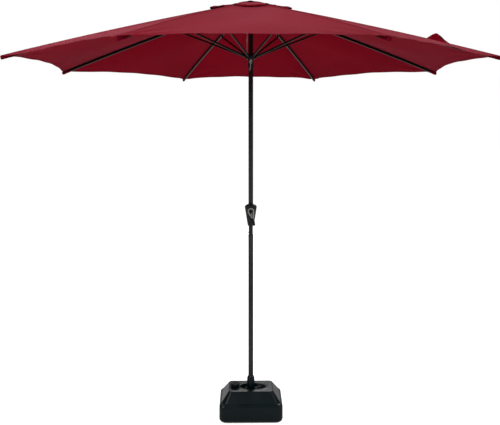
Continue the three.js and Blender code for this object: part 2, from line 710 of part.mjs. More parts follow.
// ---------- base ----------

function roundedRectangle(width, depth, radius) {
  const x = width / 2 - radius;
  const y = depth / 2 - radius;
  const shape = new THREE.Shape();
  shape.absarc(x, y, radius, 0, PI / 2);
  shape.absarc(-x, y, radius, PI / 2, PI);
  shape.absarc(-x, -y, radius, PI, 1.5 * PI);
  shape.absarc(x, -y, radius, 1.5 * PI, 2 * PI);
  return shape;
}

function prism(shape, bottom, top, curveSegments = 6) {
  const depth = top - bottom;
  const geometry = new THREE.ExtrudeGeometry(shape, { depth, bevelEnabled: false, curveSegments });
  geometry.translate(0, 0, bottom);
  return solid(geometry);
}

// The eight corners of a rectangle with its corners cut off.
function cutRectangle(width, depth, chamfer, height) {
  const x = width / 2;
  const y = depth / 2;
  const corners = [[x, y - chamfer], [x - chamfer, y], [-x + chamfer, y], [-x, y - chamfer],
    [-x, -y + chamfer], [-x + chamfer, -y], [x - chamfer, -y], [x, -y + chamfer]];
  return corners.map(([u, v]) => new THREE.Vector3(u, v, height));
}

// A closed body between two eight-sided faces.
function facetedBody(lower, upper) {
  const points = [...lower, ...upper];
  const index = [];
  for (let i = 0; i < 8; i++) {
    const next = (i + 1) % 8;
    index.push(i, next, 8 + next, i, 8 + next, 8 + i);
    if (i > 0 && i < 7) {
      index.push(0, i + 1, i);
      index.push(8, 8 + i, 8 + i + 1);
    }
  }
  const geometry = new THREE.BufferGeometry();
  const flat = points.flatMap((p) => [p.x, p.y, p.z]);
  geometry.setAttribute("position", new THREE.Float32BufferAttribute(flat, 3));
  geometry.setIndex(index);
  return solid(geometry);
}

// The tank's outer form, or a smaller one inside it.
function tankForm(inset, bottom) {
  const skirtTop = SKIRT_HEIGHT - inset / 2;
  const shoulderTop = SHOULDER_HEIGHT - inset;
  const width = BASE_WIDTH - 2 * inset;
  const depth = BASE_DEPTH - 2 * inset;
  const skirt = prism(roundedRectangle(width, depth, BASE_CORNER - inset), bottom, skirtTop);
  const narrow = 2 * SHOULDER_INSET;
  const shoulder = facetedBody(
    cutRectangle(width - 1, depth - 1, BASE_CORNER / 2, skirtTop - 1),
    cutRectangle(width - narrow, depth - narrow, BASE_CORNER, shoulderTop),
  );
  const upper = facetedBody(
    cutRectangle(width - narrow - 1, depth - narrow - 1, FACET_CHAMFER, shoulderTop - 1),
    cutRectangle(TOP_WIDTH - 2 * inset, TOP_DEPTH - 2 * inset, TOP_CHAMFER, TANK_TOP - inset),
  );
  return skirt.add(shoulder).add(upper);
}

function wellForm(wall) {
  const geometry = new THREE.CylinderGeometry(1, 1, 1, 36);
  geometry.rotateX(PI / 2);
  geometry.scale(WELL_HALF_WIDTH + wall, WELL_HALF_DEPTH + wall, TANK_TOP + 20 - WELL_FLOOR + wall);
  geometry.translate(WELL_X, WELL_Y, (TANK_TOP + 20 + WELL_FLOOR - wall) / 2);
  return solid(geometry);
}

function baseTankGeometry() {
  const sleeve = SOCKET_RADIUS + GAP;
  const wall = TANK_WALL;
  const cavity = tankForm(wall, wall)
    .subtract(wellForm(wall))
    .subtract(bar("z", sleeve + wall, 0, WELL_FLOOR, 0, 0, 28));
  const fillerNeck = bar("z", FILLER_RADIUS + 4, TANK_TOP - 2, TANK_TOP + 12, FILLER_X, FILLER_Y, 24);
  const filler = bar("z", FILLER_RADIUS, TANK_TOP - wall - 4, TANK_TOP + 13, FILLER_X, FILLER_Y, 24);
  return geometryOf(
    cutAll(tankForm(0, 0).add(fillerNeck), [
      cavity,
      wellForm(0),
      bar("z", sleeve, SOCKET_BOTTOM - GAP, WELL_FLOOR + 1, 0, 0, 28),
      filler,
    ]),
  );
}

// The water that weights the base, as one solid up to its level.
function waterGeometry() {
  const inset = TANK_WALL + 1.4;
  const level = box(-BASE_WIDTH, BASE_WIDTH, -BASE_DEPTH, BASE_DEPTH, 0, WATER_LEVEL);
  const sleeve = bar("z", SOCKET_RADIUS + GAP + inset, 0, WATER_LEVEL + 1, 0, 0, 28);
  return geometryOf(tankForm(inset, inset).intersect(level).subtract(sleeve));
}

// The cup that holds the foot of the pole, with a screw hole on each side.
function socketTubeGeometry() {
  const floor = LOWER_POLE_BOTTOM - GAP;
  const outline = [[0, SOCKET_BOTTOM], [SOCKET_RADIUS, SOCKET_BOTTOM], [SOCKET_RADIUS, 202], [22, 226],
    [21, 232], [21, 244], [19, 250], [SOCKET_BORE + 0.8, SOCKET_TOP], [SOCKET_BORE, SOCKET_TOP - 1],
    [SOCKET_BORE, floor], [0, floor]];
  const screwHole = bar("x", 4.4, -SOCKET_RADIUS - 1, SOCKET_RADIUS + 1, 0, BOLT_HEIGHT, 16);
  return geometryOf(solid(turned(outline, 28)).subtract(screwHole));
}

// A clamp screw on the +X side: shank, hexagonal head, and the length of stem between them.
function clampScrew(stem, side) {
  const tip = LOWER_POLE_RADIUS + GAP;
  const neck = SOCKET_RADIUS + stem;
  const shank = bar("x", 4, tip, neck + 1, 0, BOLT_HEIGHT, 16);
  const head = bar("x", 7.5, neck, neck + 8, 0, BOLT_HEIGHT, 6);
  const geometry = geometryOf(shank.add(head));
  if (side < 0) geometry.rotateZ(PI);
  return geometry;
}

// A ribbed screw cap: a cup upside down over the filler neck.
function fillerCapGeometry() {
  const ridges = 18;
  const outline = new THREE.Shape();
  for (let i = 0; i < 2 * ridges; i++) {
    const radius = i % 2 ? FILLER_CAP_RADIUS : FILLER_CAP_RADIUS - 1.8;
    const angle = (i * PI) / ridges;
    const place = [radius * Math.cos(angle), radius * Math.sin(angle)];
    if (i === 0) outline.moveTo(...place);
    else outline.lineTo(...place);
  }
  const bottom = TANK_TOP + GAP;
  const cup = prism(outline, bottom, FILLER_CAP_TOP - 3);
  const top = solid(
    turned([[0, FILLER_CAP_TOP - 4], [FILLER_CAP_RADIUS - 2, FILLER_CAP_TOP - 4],
      [FILLER_CAP_RADIUS - 2.6, FILLER_CAP_TOP - 1.5], [FILLER_CAP_RADIUS - 5, FILLER_CAP_TOP],
      [0, FILLER_CAP_TOP]], 36),
  );
  const hollow = bar("z", FILLER_RADIUS + 4 + GAP, bottom - 1, TANK_TOP + 13, 0, 0, 24);
  const geometry = geometryOf(cup.add(top).subtract(hollow));
  geometry.translate(FILLER_X, FILLER_Y, 0);
  return geometry;
}

// ---------- materials and assembly ----------

const finish = (color, roughness, metalness) => ({ color, roughness, metalness });
const BLACK_STEEL = finish(0x2f2e2d, 0.45, 0.6);
const BLACK_PLASTIC = finish(0x1a1b1b, 0.55, 0);
const GREY_PLASTIC = finish(0xb9b7b2, 0.5, 0);
const BASE_PLASTIC = finish(0x16201f, 0.4, 0);
const ZINC = finish(0x9a9a98, 0.35, 0.9);
const CLOTH_RED = finish(0x7a1a2c, 0.85, 0);
const CORD_WHITE = finish(0xcfc8bd, 0.8, 0);
const WATER = finish(0x7fb4c8, 0.1, 0);

function piece(name, geometry, look) {
  const mesh = new THREE.Mesh(geometry, new THREE.MeshStandardMaterial(look));
  mesh.name = name;
  return mesh;
}

const umbrella = new THREE.Group();

const ribShape = ribGeometry();
const tipShape = ribTipGeometry();
const strutShape = strutGeometry();
const sectorShape = canopySectorGeometry();
const strapRib = RIB_COUNT;

for (let i = 1; i <= RIB_COUNT; i++) {
  const spoke = new THREE.Group();
  spoke.rotation.z = (2 * i - 1) * HALF_STEP;
  umbrella.add(spoke);

  const ribFrame = new THREE.Group();
  ribFrame.position.set(PIVOT_RADIUS, 0, PIVOT_HEIGHT);
  ribFrame.rotation.y = RIB_SLOPE;
  spoke.add(ribFrame);
  ribFrame.add(piece(`rib_${i}`, ribShape, BLACK_STEEL));
  ribFrame.add(piece(`rib_tip_${i}`, tipShape, BLACK_PLASTIC));
  if (i === strapRib) ribFrame.add(piece("tie_strap", tieStrapGeometry(), CLOTH_RED));

  const strut = piece(`strut_${i}`, strutShape, BLACK_STEEL);
  strut.position.set(BRACKET_PIN.x, 0, BRACKET_PIN.y);
  strut.rotation.y = -STRUT_SLOPE;
  spoke.add(strut);

  spoke.add(piece(`canopy_panel_${i}`, sectorShape, CLOTH_RED));
}

umbrella.add(piece("vent_cap", ventCapGeometry(), CLOTH_RED));
umbrella.add(piece("finial", finialGeometry(), BLACK_PLASTIC));
umbrella.add(piece("crown_cover", crownCoverGeometry(), BLACK_PLASTIC));
umbrella.add(piece("crown_hub", crownHubGeometry(), BLACK_PLASTIC));
umbrella.add(piece("crown_pin_ring", crownRingGeometry(), ZINC));
umbrella.add(piece("crown_pulley", pulleyGeometry(), BLACK_PLASTIC));
umbrella.add(piece("lift_cord", cordAlong(new CordFall(), 44), CORD_WHITE));
umbrella.add(piece("hoist_cord", hoistCordGeometry(), CORD_WHITE));
umbrella.add(piece("cord_tail", cordTailGeometry(), CORD_WHITE));
umbrella.add(piece("runner", runnerGeometry(), BLACK_PLASTIC));

const upperTube = pipe(UPPER_POLE_RADIUS, POLE_WALL, UPPER_POLE_BOTTOM, UPPER_POLE_TOP);
umbrella.add(piece("upper_pole", upperTube, BLACK_STEEL));
umbrella.add(piece("crank_housing_front", housingHalf(true), BLACK_PLASTIC));
umbrella.add(piece("crank_housing_back", housingHalf(false), BLACK_PLASTIC));
umbrella.add(piece("winch_drum", winchDrumGeometry(), ZINC));
umbrella.add(piece("crank_arm", crankArmGeometry(), GREY_PLASTIC));
umbrella.add(piece("crank_screw", crankScrewGeometry(), BLACK_PLASTIC));
umbrella.add(piece("crank_knob", crankKnobGeometry(), BLACK_PLASTIC));
umbrella.add(piece("neck_tube", neckGeometry(), BLACK_STEEL));
umbrella.add(piece("lock_button", lockButtonGeometry(), ZINC));
umbrella.add(piece("joint_bush", jointBushGeometry(), BLACK_PLASTIC));
const lowerTube = pipe(LOWER_POLE_RADIUS, POLE_WALL, LOWER_POLE_BOTTOM, LOWER_POLE_TOP);
umbrella.add(piece("lower_pole", lowerTube, BLACK_STEEL));

umbrella.add(piece("base_tank", baseTankGeometry(), BASE_PLASTIC));
umbrella.add(piece("water_ballast", waterGeometry(), WATER));
umbrella.add(piece("socket_tube", socketTubeGeometry(), BASE_PLASTIC));
umbrella.add(piece("clamp_screw_left", clampScrew(LEFT_SCREW_STEM, -1), ZINC));
umbrella.add(piece("clamp_screw_right", clampScrew(RIGHT_SCREW_STEM, 1), ZINC));
umbrella.add(piece("filler_cap", fillerCapGeometry(), BLACK_PLASTIC));

export default umbrella;
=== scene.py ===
import json
import math

import bmesh
import bpy
import numpy as np
from mathutils import Matrix, Vector

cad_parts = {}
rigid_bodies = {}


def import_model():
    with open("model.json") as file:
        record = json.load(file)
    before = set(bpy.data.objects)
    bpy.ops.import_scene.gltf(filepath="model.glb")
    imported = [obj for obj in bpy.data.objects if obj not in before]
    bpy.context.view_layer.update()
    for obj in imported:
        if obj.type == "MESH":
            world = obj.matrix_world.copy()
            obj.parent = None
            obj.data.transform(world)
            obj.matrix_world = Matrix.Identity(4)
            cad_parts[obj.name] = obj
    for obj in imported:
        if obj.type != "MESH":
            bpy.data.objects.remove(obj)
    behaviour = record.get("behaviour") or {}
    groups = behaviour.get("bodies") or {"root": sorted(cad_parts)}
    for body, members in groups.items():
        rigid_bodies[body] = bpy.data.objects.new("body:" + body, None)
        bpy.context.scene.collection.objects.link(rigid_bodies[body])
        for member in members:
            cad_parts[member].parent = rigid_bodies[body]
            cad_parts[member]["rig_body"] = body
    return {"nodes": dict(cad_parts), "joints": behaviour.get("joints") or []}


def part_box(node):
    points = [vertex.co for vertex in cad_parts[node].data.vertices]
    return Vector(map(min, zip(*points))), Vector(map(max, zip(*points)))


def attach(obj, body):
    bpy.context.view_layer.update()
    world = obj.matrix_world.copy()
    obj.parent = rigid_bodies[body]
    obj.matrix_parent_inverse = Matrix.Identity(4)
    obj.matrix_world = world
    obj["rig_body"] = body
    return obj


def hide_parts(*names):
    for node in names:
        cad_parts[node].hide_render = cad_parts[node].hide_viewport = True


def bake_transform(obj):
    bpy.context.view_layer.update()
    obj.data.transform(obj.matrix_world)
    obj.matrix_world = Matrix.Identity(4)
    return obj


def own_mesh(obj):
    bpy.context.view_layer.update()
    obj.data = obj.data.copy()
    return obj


# A patio umbrella with a water-filled base, opened by a crank: its cloth, cords, finer parts and
# finishes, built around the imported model. Metres, +Z up. The crank faces -Y.

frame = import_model()
NODES = frame["nodes"]
JOINTS = {joint["name"]: joint for joint in frame["joints"]}
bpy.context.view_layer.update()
rng = np.random.default_rng(11)

RIBS = 8
HALF_STEP = math.pi / RIBS
COS, SIN = math.cos(HALF_STEP), math.sin(HALF_STEP)
UP = np.array([0.0, 0.0, 1.0])

# Cloth and sewing.
CLOTH = 0.0006
HEM_WIDTH = 0.020
SEAM_HALF_WIDTH = 0.007
STITCH = 0.0042
STITCH_GAP = 0.0017
THREAD_WIDTH = 0.0009
THREAD_HEIGHT = 0.0005
CORD_RADIUS = 0.002


# ---------- camera ----------

CAMERA_DISTANCE = 3.943
CAMERA_HEIGHT = 1.912
CAMERA_LENS = 43.8
CAMERA_TURN = math.radians(0.63)
CAMERA_SHIFT = (-0.0016, -0.187)


def add_object(name, data):
    made = bpy.data.objects.new(name, data)
    bpy.context.scene.collection.objects.link(made)
    return made


def make_camera():
    data = bpy.data.cameras.new("camera")
    data.lens = CAMERA_LENS
    data.sensor_width = 36
    data.shift_x, data.shift_y = CAMERA_SHIFT
    camera = add_object("camera", data)
    camera.location = (
        -CAMERA_DISTANCE * math.sin(CAMERA_TURN),
        -CAMERA_DISTANCE * math.cos(CAMERA_TURN),
        CAMERA_HEIGHT,
    )
    camera.rotation_euler = (math.pi / 2, 0, -CAMERA_TURN)
    bpy.context.scene.camera = camera


make_camera()


# ---------- materials ----------


def feed(tree, socket, value):
    """Links an output to a socket, or sets the socket's value."""
    if hasattr(value, "is_linked"):
        tree.links.new(value, socket)
    elif socket.type == "RGBA":
        socket.default_value = (*value, 1.0)
    else:
        socket.default_value = value


def add_node(tree, kind, inputs=None, **settings):
    node = tree.nodes.new(kind)
    for name, value in settings.items():
        setattr(node, name, value)
    for socket, value in (inputs or {}).items():
        feed(tree, node.inputs[socket], value)
    return node


class Finish:
    """A material built round one Principled shader, with textures in metres."""

    def __init__(self, name, roughness, metallic=0.0, **sockets):
        self.material = bpy.data.materials.new(name)
        self.material.use_nodes = True
        self.tree = self.material.node_tree
        self.shader = self.tree.nodes["Principled BSDF"]
        sockets = {"Roughness": roughness, "Metallic": metallic, **sockets}
        for socket, value in sockets.items():
            self.set(socket.replace("_", " "), value)
        self.place = self.node("ShaderNodeTexCoord").outputs["Object"]

    def set(self, socket, value):
        feed(self.tree, self.shader.inputs[socket], value)

    def node(self, kind, inputs=None, **settings):
        return add_node(self.tree, kind, inputs, **settings)

    def stretched(self, place, scale):
        return self.node("ShaderNodeMapping", {"Vector": place, "Scale": scale}).outputs["Vector"]

    def noise(self, scale, detail=4.0, rough=0.55, place=None):
        inputs = {"Vector": place or self.place, "Scale": scale, "Detail": detail, "Roughness": rough}
        return self.node("ShaderNodeTexNoise", inputs).outputs["Fac"]

    def bands(self, place, axis, pitch):
        """A row of ridges across one axis, one to each pitch."""
        inputs = {"Vector": place, "Scale": math.pi / (10 * pitch), "Distortion": 0.0}
        wave = self.node("ShaderNodeTexWave", inputs, wave_type="BANDS", bands_direction=axis)
        return wave.outputs["Fac"]

    def mapped(self, value, low, high, to_low=0.0, to_high=1.0):
        limits = {"From Min": low, "From Max": high, "To Min": to_low, "To Max": to_high}
        return self.node("ShaderNodeMapRange", {"Value": value, **limits}).outputs["Result"]

    def math(self, operation, first, second):
        return self.node("ShaderNodeMath", {0: first, 1: second}, operation=operation).outputs["Value"]

    def blend(self, share, first, second):
        """One colour where share is 0 and the other where it is 1."""
        inputs = {"Factor": share, "A": first, "B": second}
        return self.node("ShaderNodeMix", inputs, data_type="RGBA").outputs["Result"]

    def toned(self, share, low, high, colour, dark, light):
        """The colour shaded from dark to light as share goes from low to high."""
        return self.blend(self.mapped(share, low, high), shade(colour, dark), shade(colour, light))

    def colour(self, output):
        self.set("Base Color", output)

    def roughness(self, output):
        self.set("Roughness", output)

    def bump(self, height, strength, distance):
        inputs = {"Strength": strength, "Distance": distance, "Height": height}
        last = self.shader.inputs["Normal"]
        if last.is_linked:
            inputs["Normal"] = last.links[0].from_socket
        self.set("Normal", self.node("ShaderNodeBump", inputs).outputs["Normal"])


def shade(colour, factor):
    return tuple(min(1.0, channel * factor) for channel in colour)


def cloth_finish(name, colour, pitch=0.0011):
    """Plain-woven polyester: crossing threads, thick places in the yarn, faint fading and creases, and
    painted shade in the hollows of the weave.
    """
    finish = Finish(name, 0.8, Sheen_Weight=0.27, Sheen_Roughness=0.3, Sheen_Tint=(1.0, 0.36, 0.46),
                    Specular_IOR_Level=0.0)
    threads = finish.node("ShaderNodeUVMap", uv_map="threads").outputs["UV"]
    warp = finish.bands(threads, "X", pitch)
    weft = finish.bands(threads, "Y", pitch)
    weave = finish.math("MAXIMUM", warp, weft)
    slubs = finish.math(
        "ADD",
        finish.noise(60, 2, 0.5, finish.stretched(threads, (12, 0.8, 1))),
        finish.noise(60, 2, 0.5, finish.stretched(threads, (0.8, 12, 1))),
    )
    fading = finish.noise(1.4, 3, 0.5)
    mottle = finish.noise(22, 5, 0.6)
    toned = finish.toned(fading, 0.3, 0.7, colour, 0.86, 1.14)
    streaked = finish.blend(finish.mapped(slubs, 0.7, 1.3, 0.0, 0.35), toned, shade(colour, 0.72))
    # Painted shade: the cloth darkens where the threads dip between their crossings.
    weave_shade = finish.mapped(weave, 0.1, 0.6, 0.22, 0.0)
    finish.colour(finish.blend(weave_shade, streaked, shade(colour, 0.5)))
    finish.roughness(finish.mapped(mottle, 0.3, 0.7, 0.74, 0.9))
    finish.bump(finish.noise(9, 4, 0.6), 0.25, 0.0025)
    finish.bump(finish.math("ADD", weave, finish.math("MULTIPLY", slubs, 0.5)), 0.35, 0.00025)
    return finish.material


def painted_finish(name, colour, roughness=0.42, specular=0.3):
    """Powder coat on steel: orange-peel texture, dust in the film, rubbed edges."""
    finish = Finish(name, roughness, 0.0, Specular_IOR_Level=specular)
    pebble = finish.noise(900, 3, 0.5)
    film = finish.noise(14, 5, 0.6)
    toned = finish.toned(film, 0.3, 0.7, colour, 0.82, 1.2)
    edges = finish.mapped(finish.node("ShaderNodeNewGeometry").outputs["Pointiness"], 0.52, 0.6)
    worn = finish.math("MULTIPLY", edges, finish.mapped(film, 0.35, 0.6))
    finish.colour(finish.blend(finish.math("MULTIPLY", worn, 0.5), toned, shade(colour, 3.2)))
    finish.roughness(finish.mapped(film, 0.3, 0.7, roughness - 0.07, roughness + 0.09))
    finish.bump(pebble, 0.12, 0.0003)
    return finish.material


def moulded_finish(name, colour, roughness, grain=1400, mottle=0.16, scuffs=0.0, specular=0.26):
    """Moulded plastic: a spark-eroded grain, flow marks, and scuffs where it is handled."""
    finish = Finish(name, roughness, 0.0, Specular_IOR_Level=specular)
    grains = finish.noise(grain, 2, 0.5)
    flow = finish.noise(6, 5, 0.65, finish.stretched(finish.place, (1, 1, 0.45)))
    toned = finish.toned(flow, 0.3, 0.7, colour, 1 - mottle, 1 + mottle)
    if scuffs:
        scratch = finish.noise(30, 6, 0.7, finish.stretched(finish.place, (1, 6, 1)))
        marks = finish.mapped(scratch, 0.6, 0.72, 0.0, scuffs)
        toned = finish.blend(marks, toned, shade(colour, 2.2))
    finish.colour(toned)
    finish.roughness(finish.mapped(flow, 0.3, 0.7, roughness - 0.06, roughness + 0.1))
    finish.bump(flow, 0.12, 0.002)
    finish.bump(grains, 0.2, 0.00012)
    return finish.material


def metal_finish(name, colour, roughness=0.32):
    """Zinc-plated steel: a drawn grain and dull patches."""
    finish = Finish(name, roughness, 1.0)
    drawn = finish.noise(400, 3, 0.6, finish.stretched(finish.place, (1, 1, 0.05)))
    patches = finish.noise(45, 4, 0.6)
    finish.colour(finish.toned(patches, 0.35, 0.65, colour, 0.75, 1.1))
    finish.roughness(finish.mapped(patches, 0.3, 0.7, roughness - 0.08, roughness + 0.16))
    finish.bump(drawn, 0.15, 0.0002)
    return finish.material


def cord_finish(name, colour):
    """Braided polyester cord: crossing strands, a little soiled, with painted shade in the grooves
    between the strands.
    """
    finish = Finish(name, 0.8, Sheen_Weight=0.3, Specular_IOR_Level=0.3)
    strands = finish.bands(finish.stretched(finish.place, (1, 1, 0.7)), "DIAGONAL", 0.0016)
    soil = finish.noise(40, 4, 0.6)
    toned = finish.blend(finish.mapped(soil, 0.35, 0.7), colour, shade(colour, 0.62))
    # Painted shade: darker in the grooves between the strands.
    strand_shade = finish.mapped(strands, 0.2, 0.7, 0.35, 0.0)
    finish.colour(finish.blend(strand_shade, toned, shade(colour, 0.45)))
    finish.bump(strands, 0.5, 0.0004)
    return finish.material


def thread_finish(name, colour):
    """Sewing thread: plies twisted round each other."""
    finish = Finish(name, 0.7, Sheen_Weight=0.2, Specular_IOR_Level=0.3)
    plies = finish.noise(2500, 2, 0.5)
    finish.colour(finish.toned(plies, 0.35, 0.65, colour, 0.7, 1.25))
    finish.bump(plies, 0.3, 0.0002)
    return finish.material


def water_finish():
    finish = Finish("water", 0.05, 0.0, Specular_IOR_Level=0.5)
    ripple = finish.noise(30, 3, 0.5)
    finish.colour(finish.blend(ripple, (0.25, 0.42, 0.46), (0.33, 0.5, 0.54)))
    finish.bump(ripple, 0.1, 0.001)
    return finish.material


WINE = (0.192, 0.0012, 0.0085)
CLOTH_LOOK = cloth_finish("canopy_cloth", WINE)
# The tip pockets are the canopy's cloth, coloured darker: painted shade from the canopy over them.
SHADED_POCKET_LOOK = cloth_finish("pocket_cloth", (0.14, 0.0022, 0.0115))
WEBBING_LOOK = cloth_finish("black_webbing", (0.012, 0.008, 0.01), 0.0016)
THREAD_LOOK = thread_finish("wine_thread", (0.16, 0.006, 0.014))
STEEL_LOOK = painted_finish("black_steel", (0.0085, 0.0085, 0.008))
# The ribs and struts carry the frame's paint, coloured darker than on the pole: painted shade from the
# canopy above them.
SHADED_RIB_LOOK = painted_finish("rib_steel", (0.005, 0.0045, 0.004), 0.3, 0.14)
BLACK_LOOK = moulded_finish("black_plastic", (0.0075, 0.0078, 0.008), 0.46)
INLAY_LOOK = moulded_finish("dark_grey_plastic", (0.055, 0.055, 0.054), 0.5)
KNOB_LOOK = moulded_finish("knob_plastic", (0.008, 0.008, 0.0085), 0.36, grain=900, scuffs=0.3)
GREY_LOOK = moulded_finish("grey_plastic", (0.42, 0.415, 0.40), 0.42, mottle=0.06, scuffs=0.1)
BASE_LOOK = moulded_finish("base_plastic", (0.0006, 0.0050, 0.0062), 0.3, grain=420, mottle=0.22,
                           scuffs=0.25, specular=0.16)
CAP_LOOK = moulded_finish("cap_plastic", (0.003, 0.0035, 0.0038), 0.5, specular=0.1)
ZINC_LOOK = metal_finish("zinc", (0.5, 0.5, 0.49))
DARK_ZINC_LOOK = metal_finish("black_zinc", (0.06, 0.06, 0.062), 0.4)
CORD_LOOK = cord_finish("cord", (0.66, 0.63, 0.57))
WATER_LOOK = water_finish()


# ---------- mesh tools ----------


class Shape:
    """The points and faces of one piece, gathered part by part. A kind picks one of its materials."""

    def __init__(self):
        self.points = []
        self.faces = []
        self.kinds = []
        self.threads = []

    def add(self, points, faces, kind=0, threads=None):
        start = len(self.points)
        points = np.asarray(points, float).reshape(-1, 3)
        self.points.extend(points.tolist())
        self.faces.extend([start + i for i in face] for face in faces)
        self.kinds.extend([kind] * len(faces))
        if threads is None:
            threads = points[:, [0, 2]]
        self.threads.extend(np.asarray(threads, float).reshape(-1, 2).tolist())
        return self

    def loft(self, rings, kind=0, loop=False, threads=None):
        """A closed body through rings of points, with its two ends filled unless it closes in a loop."""
        rings = np.asarray(rings, float)
        count, size = rings.shape[:2]
        faces = []
        for i in range(count if loop else count - 1):
            a, b = i * size, (i + 1) % count * size
            faces += [[a + j, a + (j + 1) % size, b + (j + 1) % size, b + j] for j in range(size)]
        if not loop:
            faces.append(list(range(size))[::-1])
            faces.append([(count - 1) * size + j for j in range(size)])
        return self.add(rings, faces, kind, threads)

    def skin(self, upper, lower, threads=None):
        """A thin closed body between two grids of points."""
        rows, columns = upper.shape[:2]
        size = rows * columns
        at = lambda side, i, j: side * size + i * columns + j
        faces = []
        for i in range(rows - 1):
            for j in range(columns - 1):
                square = [at(0, i, j), at(0, i + 1, j), at(0, i + 1, j + 1), at(0, i, j + 1)]
                faces += [square, [k + size for k in square[::-1]]]
        ring = [at(0, 0, j) for j in range(columns)] + [at(0, i, columns - 1) for i in range(1, rows)]
        ring += [at(0, rows - 1, j) for j in range(columns - 2, -1, -1)]
        ring += [at(0, i, 0) for i in range(rows - 2, 0, -1)]
        faces += [[a, b, b + size, a + size] for a, b in zip(ring, ring[1:] + ring[:1])]
        both = None if threads is None else np.concatenate([threads.reshape(-1, 2)] * 2)
        points = np.concatenate([upper.reshape(-1, 3), lower.reshape(-1, 3)])
        return self.add(points, faces, threads=both)

    def placed(self, matrix):
        turned = np.asarray(self.points) @ np.asarray(matrix)[:3, :3].T + np.asarray(matrix)[:3, 3]
        self.points = turned.tolist()

    def object(self, name, *looks, crease=38):
        mesh = bpy.data.meshes.new(name)
        mesh.from_pydata(self.points, [], self.faces)
        mesh.polygons.foreach_set("material_index", self.kinds)
        work = bmesh.new()
        work.from_mesh(mesh)
        bmesh.ops.recalc_face_normals(work, faces=work.faces)
        work.to_mesh(mesh)
        work.free()
        corners = np.zeros(len(mesh.loops), int)
        mesh.loops.foreach_get("vertex_index", corners)
        layer = mesh.uv_layers.new(name="threads")
        layer.uv.foreach_set("vector", np.asarray(self.threads)[corners].ravel())
        mesh.shade_smooth()
        mesh.set_sharp_from_angle(angle=math.radians(crease))
        for look in looks:
            mesh.materials.append(look)
        return add_object(name, mesh)


def cad_points(node):
    mesh = NODES[node].data
    flat = np.zeros(len(mesh.vertices) * 3)
    mesh.vertices.foreach_get("co", flat)
    return flat.reshape(-1, 3)


def circle(radius, sides=32):
    angles = np.arange(sides) * 2 * math.pi / sides
    return np.stack([radius * np.cos(angles), radius * np.sin(angles)], 1)


def turned(shape, profile, sides=48, loop=False, centre=(0, 0)):
    """A lathed body about a vertical axis, from (radius, height) pairs."""
    rings = []
    for radius, height in profile:
        ring = circle(max(radius, 1e-5), sides) + centre
        rings.append(np.column_stack([ring, np.full(sides, height)]))
    return shape.loft(rings, loop=loop)


def rounded_section(half_width, half_depth, radius, steps=4):
    """A rounded rectangle as (sideways, up) pairs."""
    points = []
    for corner, (sx, sy) in enumerate([(1, 1), (-1, 1), (-1, -1), (1, -1)]):
        for k in range(steps + 1):
            angle = math.pi / 2 * (corner + k / steps)
            points.append((
                sx * (half_width - radius) + radius * math.cos(angle),
                sy * (half_depth - radius) + radius * math.sin(angle),
            ))
    return np.array(points)


def crosswise(outline, x, rise=0.0, size=1.0):
    """A section of (sideways, up) pairs, standing across a bar at a place along it."""
    return np.column_stack([np.full(len(outline), x), outline[:, 0] * size, outline[:, 1] * size + rise])


def axes_matrix(along, side, up, origin):
    matrix = Matrix.Identity(4)
    for column, axis in enumerate((along, side, up, origin)):
        for row in range(3):
            matrix[row][column] = axis[row]
    return matrix


def headings_of(path):
    headings = np.gradient(path, axis=0)
    return headings / np.linalg.norm(headings, axis=1)[:, None]


def run_along(path):
    """How far along a line of points each of them lies."""
    return np.concatenate([[0.0], np.cumsum(np.linalg.norm(np.diff(path, axis=0), axis=1))])


def stitches(shape, path, normal, kind=0):
    """A row of stitches along a line of points, standing a little proud of the cloth."""
    run = run_along(path)
    starts = np.arange(STITCH_GAP, run[-1] - STITCH, STITCH + STITCH_GAP)
    if not len(starts):
        return
    place = lambda at: np.stack([np.interp(at, run, path[:, axis]) for axis in range(3)], 1)
    first, last = place(starts), place(starts + STITCH)
    heading = (last - first) / np.linalg.norm(last - first, axis=1)[:, None]
    sideways = np.cross(normal, heading) * THREAD_WIDTH / 2
    low, high = np.asarray(normal) * -0.0002, np.asarray(normal) * THREAD_HEIGHT
    inset = heading * 0.0008
    corners = [
        first + sideways + low, first - sideways + low, last - sideways + low, last + sideways + low,
        first + inset + sideways * 0.6 + high, first + inset - sideways * 0.6 + high,
        last - inset - sideways * 0.6 + high, last - inset + sideways * 0.6 + high,
    ]
    points = np.stack(corners, 1).reshape(-1, 3)
    box = [[0, 1, 2, 3], [7, 6, 5, 4], [0, 4, 5, 1], [1, 5, 6, 2], [2, 6, 7, 3], [3, 7, 4, 0]]
    faces = [[8 * i + k for k in face] for i in range(len(starts)) for face in box]
    shape.add(points, faces, kind)


ROPE_SIDES = 10


def rope(shape, path, radius, pitch=0.012, swell=None):
    """A three-strand cord along a line of points, thicker where swell says."""
    path = np.asarray(path, float)
    headings, run = headings_of(path), run_along(path)
    across = np.cross(headings, [0.0, 1.0, 0.0])
    across /= np.linalg.norm(across, axis=1)[:, None]
    other = np.cross(headings, across)
    rings = []
    for i, point in enumerate(path):
        angles = np.arange(ROPE_SIDES) * 2 * math.pi / ROPE_SIDES
        size = radius * (0.92 + 0.1 * np.cos(3 * (angles - 2 * math.pi * run[i] / pitch / 3)))
        if swell is not None:
            size = size * swell[i]
        outwards = np.cos(angles)[:, None] * across[i] + np.sin(angles)[:, None] * other[i]
        rings.append(point + size[:, None] * outwards)
    return shape.loft(rings)


SHARP_EDGE = math.radians(30)
FLAT_EDGE = math.radians(0.7)


